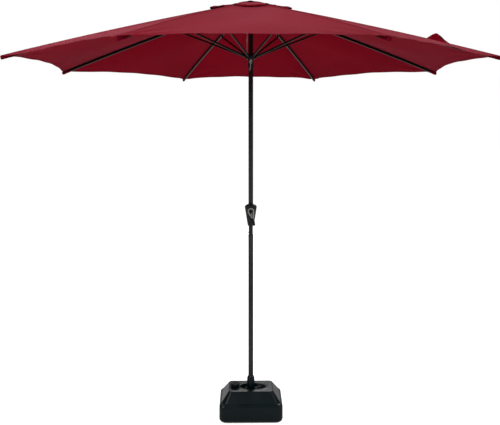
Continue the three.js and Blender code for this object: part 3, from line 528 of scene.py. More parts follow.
def refined(node, look, slot, bevel):
    """A finer copy of a CAD node that stands for it: edges rounded, facets smooth."""
    work = bmesh.new()
    work.from_mesh(NODES[node].data)
    bmesh.ops.remove_doubles(work, verts=work.verts, dist=2e-5)
    bmesh.ops.dissolve_limit(work, angle_limit=FLAT_EDGE, verts=work.verts, edges=work.edges)
    sharp = [e for e in work.edges if len(e.link_faces) == 2 and e.calc_face_angle() > SHARP_EDGE]
    bmesh.ops.bevel(
        work, geom=sharp, offset=bevel, segments=2, profile=0.6, affect="EDGES", clamp_overlap=True,
    )
    bmesh.ops.recalc_face_normals(work, faces=work.faces)
    mesh = bpy.data.meshes.new(node + "_fine")
    work.to_mesh(mesh)
    work.free()
    mesh.shade_smooth()
    mesh.set_sharp_from_angle(angle=math.radians(40))
    mesh.materials.append(look)
    piece = add_object(mesh.name, mesh)
    piece.modifiers.new("flat_faces_first", "WEIGHTED_NORMAL").keep_sharp = True
    stand_in(piece, NODES[node]["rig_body"], slot, node)


def stand_in(piece, body, slot, *nodes):
    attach(piece, body)
    if nodes:
        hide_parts(*nodes)


# ---------- the ribs' places ----------


class Spoke:
    """One rib's axes: out from the pole, sideways, along the rib and up from its upper face."""

    def __init__(self, number):
        fold = JOINTS[f"rib_{number}_fold"]
        self.number = number
        self.body = fold["child"]
        self.fold = fold["name"]
        self.pivot = np.array(fold["pos_m"])
        self.side = np.array(fold["axis"]) / np.linalg.norm(fold["axis"])
        self.out = np.cross(self.side, UP)
        tip = cad_points(f"rib_tip_{number}")
        far = (tip @ self.out).max()
        self.tip = tip[tip @ self.out > far - 1e-4].mean(0)
        self.reach = np.linalg.norm(self.tip - self.pivot)
        self.along = (self.tip - self.pivot) / self.reach
        self.up = np.cross(self.along, self.side)

    def local(self, points):
        return (np.asarray(points) - self.pivot) @ np.stack([self.along, self.side, self.up], 1)

    def matrix(self):
        return axes_matrix(self.along, self.side, self.up, self.pivot)


SPOKES = [Spoke(number) for number in range(1, RIBS + 1)]


def tops_over_rib(node, digits):
    """A cloth's upper face over the first rib: distances from the pole, and heights."""
    points = cad_points(node)
    out, side = SPOKES[0].out, SPOKES[0].side
    tops = {}
    for r, y, z in zip(points @ out, points @ side, points[:, 2]):
        if abs(y) < 10.0**-digits and r > 0:
            r = round(r, digits)
            tops[r] = max(z, tops.get(r, 0))
    radii = sorted(tops)
    return np.array(radii), np.array([tops[r] for r in radii])


RIDGE_RADII, RIDGE_HEIGHTS = tops_over_rib("canopy_panel_1", 4)
RIDGE_CURVE = np.polyfit(RIDGE_RADII, RIDGE_HEIGHTS, 2)
VENT_RADIUS, TIP_RADIUS = RIDGE_RADII[0], RIDGE_RADII[-1]
RIDGE_SLOPE = (RIDGE_HEIGHTS[0] - RIDGE_HEIGHTS[-1]) / (TIP_RADIUS - VENT_RADIUS)
MIDDLE_SLOPE = RIDGE_SLOPE / COS


def hem_scallop():
    """How far the hem curves in at the middle of a gore."""
    spoke = SPOKES[0]
    points = cad_points("canopy_panel_1")
    radial, sideways = points @ spoke.out, points @ spoke.side
    middle = np.abs(sideways) > radial * (math.tan(HALF_STEP) - 0.01)
    return TIP_RADIUS - np.hypot(radial, sideways)[middle].max() / COS


HEM_SCALLOP = hem_scallop()


def ridge_height(radius):
    return np.polyval(RIDGE_CURVE, radius)


def rib_bow(along):
    """How far a rib's middle line stands above the straight line from its pivot to its tip."""
    return np.polyval(BOW_CURVE, along) - BOW_CURVE[-1]


RIDGE_LOCAL = SPOKES[0].local(np.outer(RIDGE_RADII, SPOKES[0].out) + np.outer(RIDGE_HEIGHTS, UP))
BOW_CURVE = np.polyfit(RIDGE_LOCAL[:, 0], RIDGE_LOCAL[:, 2], 2)


# ---------- canopy ----------

GORE_PHASES = rng.uniform(0, 2 * math.pi, (RIBS, 5))
GORE_SIZES = rng.uniform(0.75, 1.25, (RIBS, 3))
# Where a gore's hem hangs lowest beside a tip, from 0 at one rib to 2 at the other, and by how much.
HEM_DROOPS = {4: (0.42, 0.022), 6: (1.58, 0.022)}


class HalfGore:
    """The canopy from a rib to the middle of a gore, on one hand: +1 or -1 along the rib's side."""

    height = staticmethod(ridge_height)

    def __init__(self, spoke, hand):
        self.spoke = spoke
        self.hand = hand
        self.name = f"{spoke.number}_{'b' if hand > 0 else 'a'}"
        gore = spoke.number - 1 if hand > 0 else (spoke.number - 2) % RIBS
        self.gore = gore
        self.phases = GORE_PHASES[gore]
        self.sizes = GORE_SIZES[gore]
        self.middle = COS * spoke.out + hand * SIN * spoke.side
        normal = MIDDLE_SLOPE * self.middle + UP
        self.normal = normal / np.linalg.norm(normal)

    def across(self, u):
        """Place across the whole gore, from 0 at one rib to 2 at the other."""
        return u if self.hand > 0 else 2 - u

    def chord(self, radius, u):
        """A point of the flat gore; u is 0 at the rib and 1 at the middle of the gore."""
        radius, u = np.broadcast_arrays(np.asarray(radius, float), np.asarray(u, float))
        inward = (radius * (1 - u * SIN * SIN))[..., None] * self.spoke.out
        sideways = (self.hand * radius * u * COS * SIN)[..., None] * self.spoke.side
        return inward + sideways, radius, u

    def relief(self, radius, u):
        """Sag between the ribs, and the creases, puckers and flutter of stretched cloth."""
        share = np.clip((radius - VENT_RADIUS) / (TIP_RADIUS - VENT_RADIUS), 0, 1)
        bulge = u * (2 - u)
        s = self.across(u)
        sag = bulge * (0.012 * (1 - share) ** 1.5 + 0.011 * np.sin(math.pi * share) * self.sizes[0])
        from_tip = (TIP_RADIUS - radius) / COS
        sideways = u * radius * COS * SIN
        fan = np.arctan2(sideways, from_tip + 0.02)
        reach = np.hypot(from_tip, sideways)
        clear = np.clip(sideways / 0.03, 0, 1)
        creases = 0.0026 * self.sizes[1] * np.cos(11 * fan + self.phases[0])
        creases = creases * np.exp(-((reach / 0.22) ** 2)) * clear
        pucker = 0.0009 * np.sin(2 * math.pi * from_tip / 0.034 + self.phases[1])
        pucker = pucker * np.exp(-sideways / 0.02) * np.clip(sideways / 0.008, 0, 1)
        billow = 0.0022 * bulge * np.sin(1.7 * math.pi * s + self.phases[2])
        billow = billow * np.sin(2.6 * math.pi * share + self.phases[3])
        edge = np.clip((share - 0.86) / 0.14, 0, 1) ** 2
        flutter = 0.003 * self.sizes[2] * bulge * edge * np.sin(4.4 * math.pi * s + self.phases[4])
        lowest, drop = HEM_DROOPS.get(self.gore, (1.0, 0.0))
        droop = drop * edge * np.exp(-(((s - lowest) / 0.32) ** 2)) * clear
        slack = np.clip(1 - share / 0.12, 0, 1) ** 2
        gather = 0.003 * bulge * slack * np.sin(5.2 * math.pi * s + self.phases[1])
        return creases + pucker + billow + flutter + gather - sag - droop

    def at(self, radius, u, lift=0.0):
        flat, radius, u = self.chord(radius, u)
        height = self.height(radius)[..., None] * UP
        return flat + height + (lift + self.relief(radius, u))[..., None] * self.normal

    def hem(self, u):
        return TIP_RADIUS - HEM_SCALLOP * u * (2 - u)

    def threads(self, radius, u):
        """Place along and across the weave, in metres."""
        radius, u = np.broadcast_arrays(radius, u)
        across = self.hand * (1 - u) * radius * COS * SIN
        return np.stack([across, radius * COS * math.hypot(1, MIDDLE_SLOPE)], -1)

    def press(self, piece):
        """Rides on the rib."""
        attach(piece, self.spoke.body)
        anchor = VENT_RADIUS * self.spoke.out + ridge_height(VENT_RADIUS) * UP
        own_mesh(piece)

    def cloth(self, name, inner, rows, columns):
        """The cloth itself, from an inner radius to the hem."""
        radius = inner + np.linspace(0, 1, rows)[:, None] * (self.hem(columns) - inner)
        u = np.broadcast_to(columns, radius.shape)
        shape = Shape()
        shape.skin(self.at(radius, u), self.at(radius, u, -CLOTH), threads=self.threads(radius, u))
        return shape.object(f"{name}_{self.name}", CLOTH_LOOK, crease=70)

    def border(self, shape, edge, section, count, weave=0.0):
        """A turned edge: a section of (outwards, up) pairs carried across the gore."""
        out, lift = np.array(section).T
        rings = [self.at(edge(u) + out, np.full(len(out), u), lift) for u in np.linspace(0, 1, count)]
        threads = None
        if weave:
            run = np.repeat(np.linspace(0, weave, count), len(out))[:, None]
            threads = np.tile(np.stack([-out, -out], 1), (count, 1)) + run
        shape.loft(rings, threads=threads)

    def seam(self, shape, radii, shoulder, half_width):
        """The seam over the rib, as a low ridge."""
        off = np.array([0.0, 0.0, shoulder, half_width - 0.0006, half_width, half_width])
        lift = np.array([-0.0003, 0.0010, 0.0012, 0.0010, 0.0004, -0.0003])
        shape.loft([self.at(np.full(6, r), off / (r * COS * SIN), lift) for r in radii])

    def sew_hem(self, shape, insets, u):
        for inset in insets:
            for lift, side in ((0.0003, 1), (-0.0018, -1)):
                stitches(shape, self.at(self.hem(u) - inset, u, lift), side * self.normal)

    def sew_seam(self, shape, radii, offset):
        stitches(shape, self.at(radii, offset / (radii * COS * SIN), 0.0010), self.normal)

    def hang(self, cloth, trims, **details):
        for piece in (cloth, *trims):
            self.press(piece)


HEM_SECTION = (
    (-HEM_WIDTH, -0.0005), (-HEM_WIDTH, -0.0015), (-0.010, -0.0018), (-0.003, -0.0018),
    (0.0006, -0.0014), (0.0015, -0.0004), (0.0006, 0.0004), (-0.002, 0.0003), (-0.004, -0.0003),
)
VENT_SECTION = (
    (-0.001, 0.0002), (0.0, 0.001), (0.018, 0.0009), (0.0185, 0.0003), (0.0185, -0.0003), (0.0, -0.0012),
)


def half_canopy(gore):
    cloth = gore.cloth("canopy", VENT_RADIUS, 61, np.linspace(0, 1, 25) ** 1.15)
    bands = Shape()
    gore.border(bands, gore.hem, HEM_SECTION, 33, weave=0.55)
    gore.border(bands, lambda u: VENT_RADIUS, VENT_SECTION, 12)
    gore.seam(bands, np.linspace(VENT_RADIUS, TIP_RADIUS - 0.001, 60), 0.003, SEAM_HALF_WIDTH)
    band = bands.object(f"canopy_hem_{gore.name}", CLOTH_LOOK, crease=50)

    sewn = Shape()
    u = np.linspace(0, 1, 120)
    gore.sew_hem(sewn, (0.004, HEM_WIDTH - 0.003), u)
    stitches(sewn, gore.at(VENT_RADIUS + 0.015, u, 0.0010), gore.normal)
    gore.sew_seam(sewn, np.linspace(VENT_RADIUS, TIP_RADIUS - 0.004, 160), 0.0052)
    thread = sewn.object(f"canopy_thread_{gore.name}", THREAD_LOOK)

    width = TIP_RADIUS * COS * SIN
    length = (TIP_RADIUS - VENT_RADIUS) * math.hypot(COS, RIDGE_SLOPE)
    area = 0.5 * COS * SIN * math.hypot(1, MIDDLE_SLOPE) * (
        (TIP_RADIUS - HEM_SCALLOP * 2 / 3) ** 2 - VENT_RADIUS**2
    )
    gore.hang(cloth, [band, thread], flat=(width, length), area=area,
              rests_on=[f"rib_{gore.spoke.number}_bar"])
    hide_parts(f"canopy_panel_{gore.spoke.number}")


POCKET_LENGTH = 0.064
POCKET_OVERHANG = 0.0012
CLOTH_UNDERSIDE = 0.0105  # above a rib's middle line


def tip_pocket(spoke):
    """The sleeve sewn under a corner of the canopy that holds the rib's tip, with its stitched patch."""
    shape = Shape()
    start, end = spoke.reach - POCKET_LENGTH, spoke.reach + POCKET_OVERHANG
    inner = rounded_section(0.0068, 0.0098, 0.004)
    rings = []
    for x, grow in (
        (end - 0.002, -0.0002), (start + 0.006, 0.0), (start, 0.0009), (start - 0.0006, 0.0018),
        (start + 0.003, 0.0018), (start + 0.02, 0.0010), (start + 0.05, 0.0012),
        (end - 0.010, 0.0012), (end - 0.003, 0.0006), (end, -0.0022),
    ):
        wave = 0.0004 * math.sin(90 * x)
        ring = inner * (1 + (grow + wave) / 0.0085)
        rings.append(crosswise(ring, x, rib_bow(min(x, spoke.reach))))
    shape.loft(rings)
    for hand in (-1, 1):
        y = hand * np.array([0.006, 0.0155])
        x = np.linspace(start - 0.006, spoke.reach - 0.012, 12)
        grid = np.zeros((12, 2, 3))
        grid[..., 0] = x[:, None]
        grid[..., 1] = y * np.linspace(1, 0.75, 12)[:, None]
        grid[..., 2] = CLOTH_UNDERSIDE + rib_bow(x)[:, None] - 0.103 * np.abs(grid[..., 1]) - 0.0004
        lower = grid.copy()
        lower[..., 2] -= 0.0009
        shape.skin(grid, lower)
        stitches(shape, lower[:, 1] - [0, hand * 0.0022, 0], (0, 0, -1), 1)
    shape.placed(spoke.matrix())
    piece = shape.object(f"tip_pocket_{spoke.number}", SHADED_POCKET_LOOK, THREAD_LOOK)
    stand_in(piece, spoke.body, "canopy_cloth")


for spoke in SPOKES:
    for hand in (-1, 1):
        half_canopy(HalfGore(spoke, hand))
    tip_pocket(spoke)


# ---------- vent cap ----------


CAP_RADII, CAP_HEIGHTS = tops_over_rib("vent_cap", 3)
CAP_RADIUS = CAP_RADII[-1]
CAP_INNER = 0.050
CAP_PATCH_RADIUS = 0.088
# How far each corner of the cap stands up off the canopy, by rib, and each side's rim between two ribs.
CORNER_LIFTS = (0.005, 0.001, 0.002, 0.006, 0.016, 0.002, 0.004, 0.012)
RIM_LIFTS = (0.004, -0.002, 0.003, 0.001, 0.010, -0.004, 0.006, 0.003)


def cap_height(radius):
    """The profile with its shoulder rounded."""
    reach = 0.02
    samples = [np.interp(radius + reach * k, CAP_RADII, CAP_HEIGHTS) for k in (-1, -0.5, 0, 0.5, 1)]
    return sum(samples) / len(samples)


class CapHalf(HalfGore):
    """Half a side of the vent cap, from a rib to the middle of the gap to the next."""

    height = staticmethod(cap_height)

    def relief(self, radius, u):
        out = np.clip((radius - 0.13) / (CAP_RADIUS - 0.13), 0, 1.05) ** 2
        bulge = u * (2 - u)
        s = self.across(u)
        corner = CORNER_LIFTS[self.spoke.number - 1] * out * (1 - u) ** 2
        peak = np.sin(math.pi * s / 2) ** 2 * (1 + 0.35 * np.sin(math.pi * s))
        rim = RIM_LIFTS[self.gore] * out * peak
        folds = 0.0016 * bulge * out * np.sin(5 * math.pi * s + self.phases[0])
        turned_down = 0.009 * np.clip((radius - CAP_RADIUS + 0.024) / 0.024, 0, 1) ** 1.5
        return corner + rim + folds - turned_down - 0.003 * bulge * (1 - out)

    def hem(self, u):
        return CAP_RADIUS - 0.004 * u * (2 - u)


CAP_HEM_SECTION = (
    (-0.014, -0.0003), (-0.014, -0.0014), (-0.006, -0.0018), (0.0, -0.0016), (0.0012, -0.0005),
    (0.0004, 0.0004), (-0.003, -0.0002),
)


def half_cap(cap):
    cloth = cap.cloth("vent_cap", CAP_INNER, 22, np.linspace(0, 1, 15))
    bands = Shape()
    cap.border(bands, cap.hem, CAP_HEM_SECTION, 15)
    cap.seam(bands, np.linspace(CAP_INNER, CAP_RADIUS, 20), 0.0025, 0.006)
    band = bands.object(f"vent_hem_{cap.name}", CLOTH_LOOK, crease=50)

    sewn = Shape()
    cap.sew_hem(sewn, (0.003, 0.011), np.linspace(0, 1, 60))
    cap.sew_seam(sewn, np.linspace(CAP_INNER + 0.01, CAP_RADIUS - 0.003, 60), 0.0044)
    thread = sewn.object(f"vent_thread_{cap.name}", THREAD_LOOK)

    width = CAP_RADIUS * COS * SIN
    length = (CAP_RADIUS - CAP_INNER) * 0.98
    area = 0.5 * COS * SIN * 1.03 * (CAP_RADIUS**2 - CAP_INNER**2)
    cap.hang(cloth, [band, thread], flat=(width, length), area=area)
    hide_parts("vent_cap")


def corner_tab(spoke):
    """Black webbing sewn to a corner of the vent cap and down to the canopy under it."""
    cap, gore = CapHalf(spoke, 1), HalfGore(spoke, 1)
    shape = Shape()
    top, low = CAP_RADIUS - 0.036, CAP_RADIUS + 0.0015
    route = [(r, float(cap.at(r, 0.0, 0.0016)[2])) for r in np.linspace(top, low, 6)]
    route += [(low + 0.0008, route[-1][1] - 0.002)]
    under = float(gore.at(low, 0.0)[2]) + 0.0016
    route += [(low - 0.001, (route[-1][1] + under) / 2), (low - 0.004, under)]
    route += [(low - 0.026, under + 0.007)]
    route = np.array(route)
    half_width = np.array([-0.008, -0.004, 0.0, 0.004, 0.008])
    headings = headings_of(route)
    normals = np.stack([-headings[:, 1], headings[:, 0]], 1)
    faces = []
    for offset in (0.0006, -0.0006):
        moved = route + normals * offset
        grid = moved[:, 0, None, None] * spoke.out + half_width[None, :, None] * spoke.side
        droop = moved[:, 1, None] - 0.14 * np.abs(half_width)[None, :]
        faces.append(grid + droop[..., None] * UP)
    shape.skin(faces[0], faces[1])
    piece = shape.object(f"vent_tab_{spoke.number}", WEBBING_LOOK, crease=60)
    stand_in(piece, spoke.body, "canopy_cloth")


def cap_patch():
    """The round reinforcement under the finial."""
    rows = np.linspace(0.012, CAP_PATCH_RADIUS, 12)
    angles = np.linspace(0, 2 * math.pi, 97)
    sectors = np.abs((angles - HALF_STEP) / (2 * HALF_STEP) % 1 - 0.5) * 2
    flat = 1 - 0.5 * (1 - COS) * (1 - sectors)
    grid = np.zeros((12, 97, 3))
    grid[..., 0] = rows[:, None] * np.cos(angles)
    grid[..., 1] = rows[:, None] * np.sin(angles)
    rise = 0.0014 + 0.0009 * (rows / CAP_PATCH_RADIUS) ** 2
    grid[..., 2] = cap_height(rows[:, None] / flat) + rise[:, None]
    upper, lower = grid[:, :-1], grid[:, :-1].copy()
    lower[..., 2] -= 0.0008
    shape = Shape()
    outline = np.concatenate([upper, lower[::-1]])
    shape.loft(outline, loop=True)
    for radius in (CAP_PATCH_RADIUS - 0.004, 0.042):
        ring = np.column_stack([circle(radius, 97), np.zeros(97)])
        ring[:, 2] = np.interp(radius, rows, grid[:, 6, 2]) + 0.0002
        stitches(shape, ring, (0, 0, 1), 1)
    piece = shape.object("vent_cap_patch", CLOTH_LOOK, THREAD_LOOK, crease=60)
    stand_in(piece, "upper_mast", "canopy_cloth", "vent_cap")


for spoke in SPOKES:
    for hand in (-1, 1):
        half_cap(CapHalf(spoke, hand))
    corner_tab(spoke)
cap_patch()


# ---------- tie strap ----------

STRAP_RIB = 8
STRAP_WIDTH = 0.048
STRAP_OFFSET = 0.022
STRAP_START, STRAP_END = 1.035, 1.305
STRAP_HALF_THICKNESS = 0.0007
# How far the strap has turned on edge, along its length: flat, standing up in a fold, flat again.
STRAP_TURNS = ((1.035, 0), (1.092, 3), (1.104, 18), (1.136, 74), (1.142, 88), (1.150, 76),
               (1.200, 38), (1.250, 12), (1.270, 1), (1.305, 0))


def tie_strap():
    """The band that ties the closed canopy, its slack standing up on edge in a fold."""
    spoke = SPOKES[STRAP_RIB - 1]
    gore = HalfGore(spoke, 1)
    along = np.linspace(STRAP_START, STRAP_END, 90)
    places, degrees = np.array(STRAP_TURNS).T
    reach = np.linspace(-0.006, 0.006, 5)
    turn = np.radians(sum(np.interp(along + shift, places, degrees) for shift in reach) / len(reach))
    width = np.linspace(0, STRAP_WIDTH, 9)
    curl = 0.0035 * np.sin(math.pi * width / STRAP_WIDTH)

    def face(offset):
        cos, sin = np.cos(turn)[:, None], np.sin(turn)[:, None]
        side = STRAP_OFFSET + width * cos - (offset + curl * sin) * sin
        rise = 0.0016 + width * sin + offset * cos
        radius = (spoke.pivot @ spoke.out + along * (spoke.along @ spoke.out))[:, None] + 0 * side
        return gore.at(radius, side / (radius * COS * SIN)) + rise[..., None] * spoke.up

    threads = np.stack(np.broadcast_arrays(width[None, :], along[:, None]), -1)
    strip = Shape().skin(face(STRAP_HALF_THICKNESS), face(-STRAP_HALF_THICKNESS), threads=threads)
    band = strip.object("tie_strap_band", CLOTH_LOOK, crease=60)
    sewn = Shape()
    for offset, sign in ((0.0008, 1), (-0.0008, -1)):
        upper = face(offset)
        for column in (1, 7):
            stitches(sewn, upper[:, column], sign * spoke.up)
    for row in (3, 9, 80, 86):
        stitches(sewn, face(0.0008)[row], spoke.up)
    thread = sewn.object("tie_strap_thread", THREAD_LOOK)
    fastener = Shape()
    rows = slice(43, 84)
    fastener.skin(face(0.0019)[rows, 5:], face(-0.0019)[rows, 5:], threads=threads[rows, 5:])
    patch = fastener.object("tie_strap_fastener", WEBBING_LOOK, crease=60)
    for piece in (band, thread, patch):
        gore.press(piece)
    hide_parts("tie_strap")


tie_strap()


# ---------- ribs and struts ----------


def domed_pin(shape, centre, axis, radius, reach):
    """A rivet: a shank with a domed head at each end."""
    axis = np.asarray(axis, float)
    first = np.cross(axis, UP)
    first /= np.linalg.norm(first)
    second = np.cross(axis, first)
    half = [(0.55, 0.58), (1.0, 0.6), (1.0, 0.72), (0.8, 0.93), (0.35, 1.0)]
    profile = [(size, -t) for size, t in half[::-1]] + half
    ring = circle(1.0, 14)
    rings = [centre + axis * reach * t + radius * size * (ring[:, :1] * first + ring[:, 1:] * second)
             for size, t in profile]
    shape.loft(rings, 1)


def plate(shape, outline, axis_from, axis_to):
    """A flat plate from an outline of (along, up) pairs between two sideways places."""
    outline = np.asarray(outline)
    middle = outline.mean(0)
    rings = []
    for y, shrink in ((axis_from, 0.965), (axis_from * 0.8 + axis_to * 0.2, 1.0),
                      (axis_from * 0.2 + axis_to * 0.8, 1.0), (axis_to, 0.965)):
        pts = middle + (outline - middle) * shrink
        rings.append(np.column_stack([pts[:, 0], np.full(len(pts), y), pts[:, 1]]))
    shape.loft(rings)


def stadium(from_x, to_x, from_z, to_z, radius):
    """The outline of a bar with round ends, or of a strip between two holes."""
    steps = 8
    heading = math.atan2(to_z - from_z, to_x - from_x)
    points = []
    for centre, start in (((to_x, to_z), -math.pi / 2), ((from_x, from_z), math.pi / 2)):
        for k in range(steps + 1):
            angle = heading + start + math.pi * k / steps
            points.append((centre[0] + radius * math.cos(angle), centre[1] + radius * math.sin(angle)))
    return points


TUBE_CORNER = 0.0022
BRACKET_SHEET = 0.0018
EAR_REACH, EAR_RADIUS = 0.011, 0.0075


def rib_bar(spoke):
    """The bowed tube with its hinge tongue, its strut bracket and their rivets."""
    points = spoke.local(cad_points(f"rib_{spoke.number}"))
    half_width = np.abs(points[:, 1]).max()
    tube = points[np.abs(points[:, 1]) > half_width - 1e-4]
    start, end = tube[:, 0].min(), tube[:, 0].max()
    half_depth = (points[:, 2] - rib_bow(points[:, 0]))[points[:, 0] > end - 1e-3].max()
    pin = spoke.local(np.array(JOINTS[f"strut_{spoke.number}_fold"]["pos_m"]))
    section = rounded_section(half_width, half_depth, TUBE_CORNER)
    shape = Shape()
    rings = []
    middle = np.linspace(start + 0.01, end - 0.01, 26)
    stations = np.concatenate([[start, start + 0.0006], middle, [end - 0.0006, end]])
    for i, x in enumerate(stations):
        size = 0.94 if i in (0, len(stations) - 1) else 1.0
        rings.append(crosswise(section, x, rib_bow(x), size))
    shape.loft(rings)
    tongue = points[points[:, 0] < start - 0.004]
    half_tongue = np.abs(tongue[:, 1]).max()
    tongue = stadium(0.0, start + 0.012, 0.0, rib_bow(start), half_depth - 0.0012)
    plate(shape, tongue, -half_tongue, half_tongue)
    reach = half_tongue + 0.0004
    ear_top = half_depth * -0.7 + rib_bow(pin[0])
    ear = [(pin[0] - EAR_REACH, ear_top), (pin[0] - EAR_REACH, pin[2])]
    ear += [(pin[0] + EAR_RADIUS * math.cos(a), pin[2] + EAR_RADIUS * math.sin(a))
            for a in np.linspace(math.pi * 1.1, math.pi * 1.9, 9)]
    ear += [(pin[0] + EAR_REACH, pin[2]), (pin[0] + EAR_REACH, ear_top)]
    for hand in (-1, 1):
        plate(shape, ear, hand * reach, hand * (reach + BRACKET_SHEET))
    saddle = rounded_section(half_width + 0.0011, half_depth + 0.0010, TUBE_CORNER + 0.001)
    shape.loft([crosswise(saddle, pin[0] + dx, rib_bow(pin[0] + dx), size)
                for dx, size in ((-0.0165, 0.93), (-0.0155, 1.0), (0.0155, 1.0), (0.0165, 0.93))])
    side = (0.0, 1.0, 0.0)
    domed_pin(shape, np.array([pin[0], 0.0, pin[2]]), side, 0.0042, 0.0068)
    for dx in (-0.010, 0.010):
        rivet = np.array([pin[0] + dx, 0.0, rib_bow(pin[0] + dx) + 0.001])
        domed_pin(shape, rivet, side, 0.0026, half_width + 0.0024)
    rivet = np.array([start + 0.010, 0.0, rib_bow(start + 0.01)])
    domed_pin(shape, rivet, side, 0.003, half_width + 0.0014)
    shape.placed(spoke.matrix())
    piece = shape.object(f"rib_{spoke.number}_bar", SHADED_RIB_LOOK, ZINC_LOOK)
    stand_in(piece, spoke.body, "steel", f"rib_{spoke.number}")


def rib_tip(spoke):
    """The moulded end of a rib, rounded for its pocket."""
    points = spoke.local(cad_points(f"rib_tip_{spoke.number}"))
    half_width = np.abs(points[:, 1]).max()
    head = points[np.abs(points[:, 1]) > half_width - 1e-4]
    start, end = head[:, 0].min(), points[:, 0].max()
    half_depth = (head[:, 2] - rib_bow(head[:, 0])).max()
    shape = Shape()
    rings = []
    for x, size in ((start - 0.028, 0.76), (start - 0.0004, 0.78), (start, 0.93), (start + 0.0008, 1.0),
                    (end - 0.008, 1.0), (end - 0.004, 0.94), (end - 0.0015, 0.8), (end, 0.5)):
        ring = rounded_section(half_width * size, half_depth * min(1.0, size + 0.1), 0.0028 * size)
        rings.append(crosswise(ring, x, rib_bow(x)))
    shape.loft(rings)
    shape.placed(spoke.matrix())
    piece = shape.object(f"rib_tip_{spoke.number}_cap", BLACK_LOOK)
    stand_in(piece, spoke.body, "frame_plastic", f"rib_tip_{spoke.number}")


def strut_bar(spoke):
    """The tube from a rib's bracket to the runner, with a flattened eye at each end."""
    number = spoke.number
    pin = np.array(JOINTS[f"strut_{number}_fold"]["pos_m"])
    points = cad_points(f"strut_{number}")
    distance = np.linalg.norm(points - pin, axis=1)
    far = points[distance > distance.max() - 1e-4].mean(0)
    along = (far - pin) / np.linalg.norm(far - pin)
    up = np.cross(along, spoke.side)
    up = up if up[2] > 0 else -up
    local = (points - pin) @ np.stack([along, spoke.side, up], 1)
    half_width = np.sort(np.abs(local[np.abs(local[:, 0]) > 0.02, 1]))[-1]
    tube = local[(np.abs(local[:, 1]) > half_width - 1e-4) & (local[:, 0] > 0.012)]
    start, end = tube[:, 0].min(), tube[:, 0].max()
    half_depth = np.abs(tube[:, 2]).max()
    eye = half_depth - 0.0009
    length = local[:, 0].max() - eye
    section = rounded_section(half_width, half_depth, TUBE_CORNER)
    flat = rounded_section(0.0031, half_depth + 0.0006, 0.0012)
    shape = Shape()
    rings = []
    for x, share in ((start - 0.010, 0.0), (start - 0.006, 0.15), (start, 0.7), (start + 0.006, 1.0),
                     (end - 0.006, 1.0), (end, 0.7), (end + 0.006, 0.15), (end + 0.010, 0.0)):
        rings.append(crosswise(section * share + flat * (1 - share), x))
    shape.loft(rings)
    plate(shape, stadium(0.0, start, 0.0, 0.0, eye), -0.0025, 0.0025)
    plate(shape, stadium(end, length, 0.0, 0.0, eye), -0.0025, 0.0025)
    domed_pin(shape, np.array([length, 0.0, 0.0]), (0.0, 1.0, 0.0), 0.0032, 0.0032)
    shape.placed(axes_matrix(along, spoke.side, up, pin))
    piece = shape.object(f"strut_{number}_bar", SHADED_RIB_LOOK, ZINC_LOOK)
    stand_in(piece, f"strut_{number}_body", "steel", f"strut_{number}")


for spoke in SPOKES:
    rib_bar(spoke)
    rib_tip(spoke)
    strut_bar(spoke)


# ---------- poles ----------

TUBE_WALL = 0.0012


def round_tube(name, node):
    low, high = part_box(node)
    radius = (high.x - low.x) / 2
    inner, lip = radius - TUBE_WALL, 0.0004
    profile = [(inner, low.z + lip), (inner + lip, low.z), (radius - lip, low.z),
               (radius, low.z + lip), (radius, high.z - lip), (radius - lip, high.z),
               (inner + lip, high.z), (inner, high.z - lip)]
    shape = turned(Shape(), profile, 64, loop=True)
    piece = shape.object(name, STEEL_LOOK, crease=50)
    stand_in(piece, NODES[node]["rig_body"], "steel", node)


round_tube("upper_tube", "upper_pole")
round_tube("lower_tube", "lower_pole")


# ---------- base ----------

SKIRT_TOP = 0.106
SHOULDER_TOP, SHOULDER_INSET = 0.118, 0.009
TANK_TOP = 0.183
TOP_WIDTH, TOP_DEPTH = 0.280, 0.166
FACET_CHAMFER, BACK_CHAMFER, TOP_CHAMFER = 0.027, 0.022, 0.012
SKIRT_CORNER = 0.028
FOOT_ROUND = 0.032
WELL_CENTRE = (0.012, -0.012)
WELL_HALF = (0.084, 0.046)
WELL_FLOOR = 0.158
NECK_RADIUS = 0.025
VOXEL = 0.0024
SMOOTH_STEPS, SMOOTH_SHARE = 16, 0.5
WATER_INSET, WATER_TOP = 0.008, 0.130


def rounded_rectangle(width, depth, radius):
    return rounded_section(width / 2, depth / 2, radius, 7)


def cut_rectangle(width, depth, chamfer, back):
    x, y = width / 2, depth / 2
    return np.array([(x, y - back), (x - back, y), (-x + back, y), (-x, y - back),
                     (-x, -y + chamfer), (-x + chamfer, -y), (x - chamfer, -y), (x, -y + chamfer)])


def level(outline, height):
    return np.column_stack([outline, np.full(len(outline), height)])


def foot_rings(width, depth, angles, rise=0.0):
    """The rounded foot, as rings from the floor up; the angles run from 0 to a quarter turn."""
    rings = []
    for angle in angles:
        inset = FOOT_ROUND * (1 - math.sin(angle))
        outline = rounded_rectangle(width - 2 * inset, depth - 2 * inset, SKIRT_CORNER + 0.3 * inset)
        rings.append(level(outline, rise + FOOT_ROUND * (1 - math.cos(angle))))
    return rings


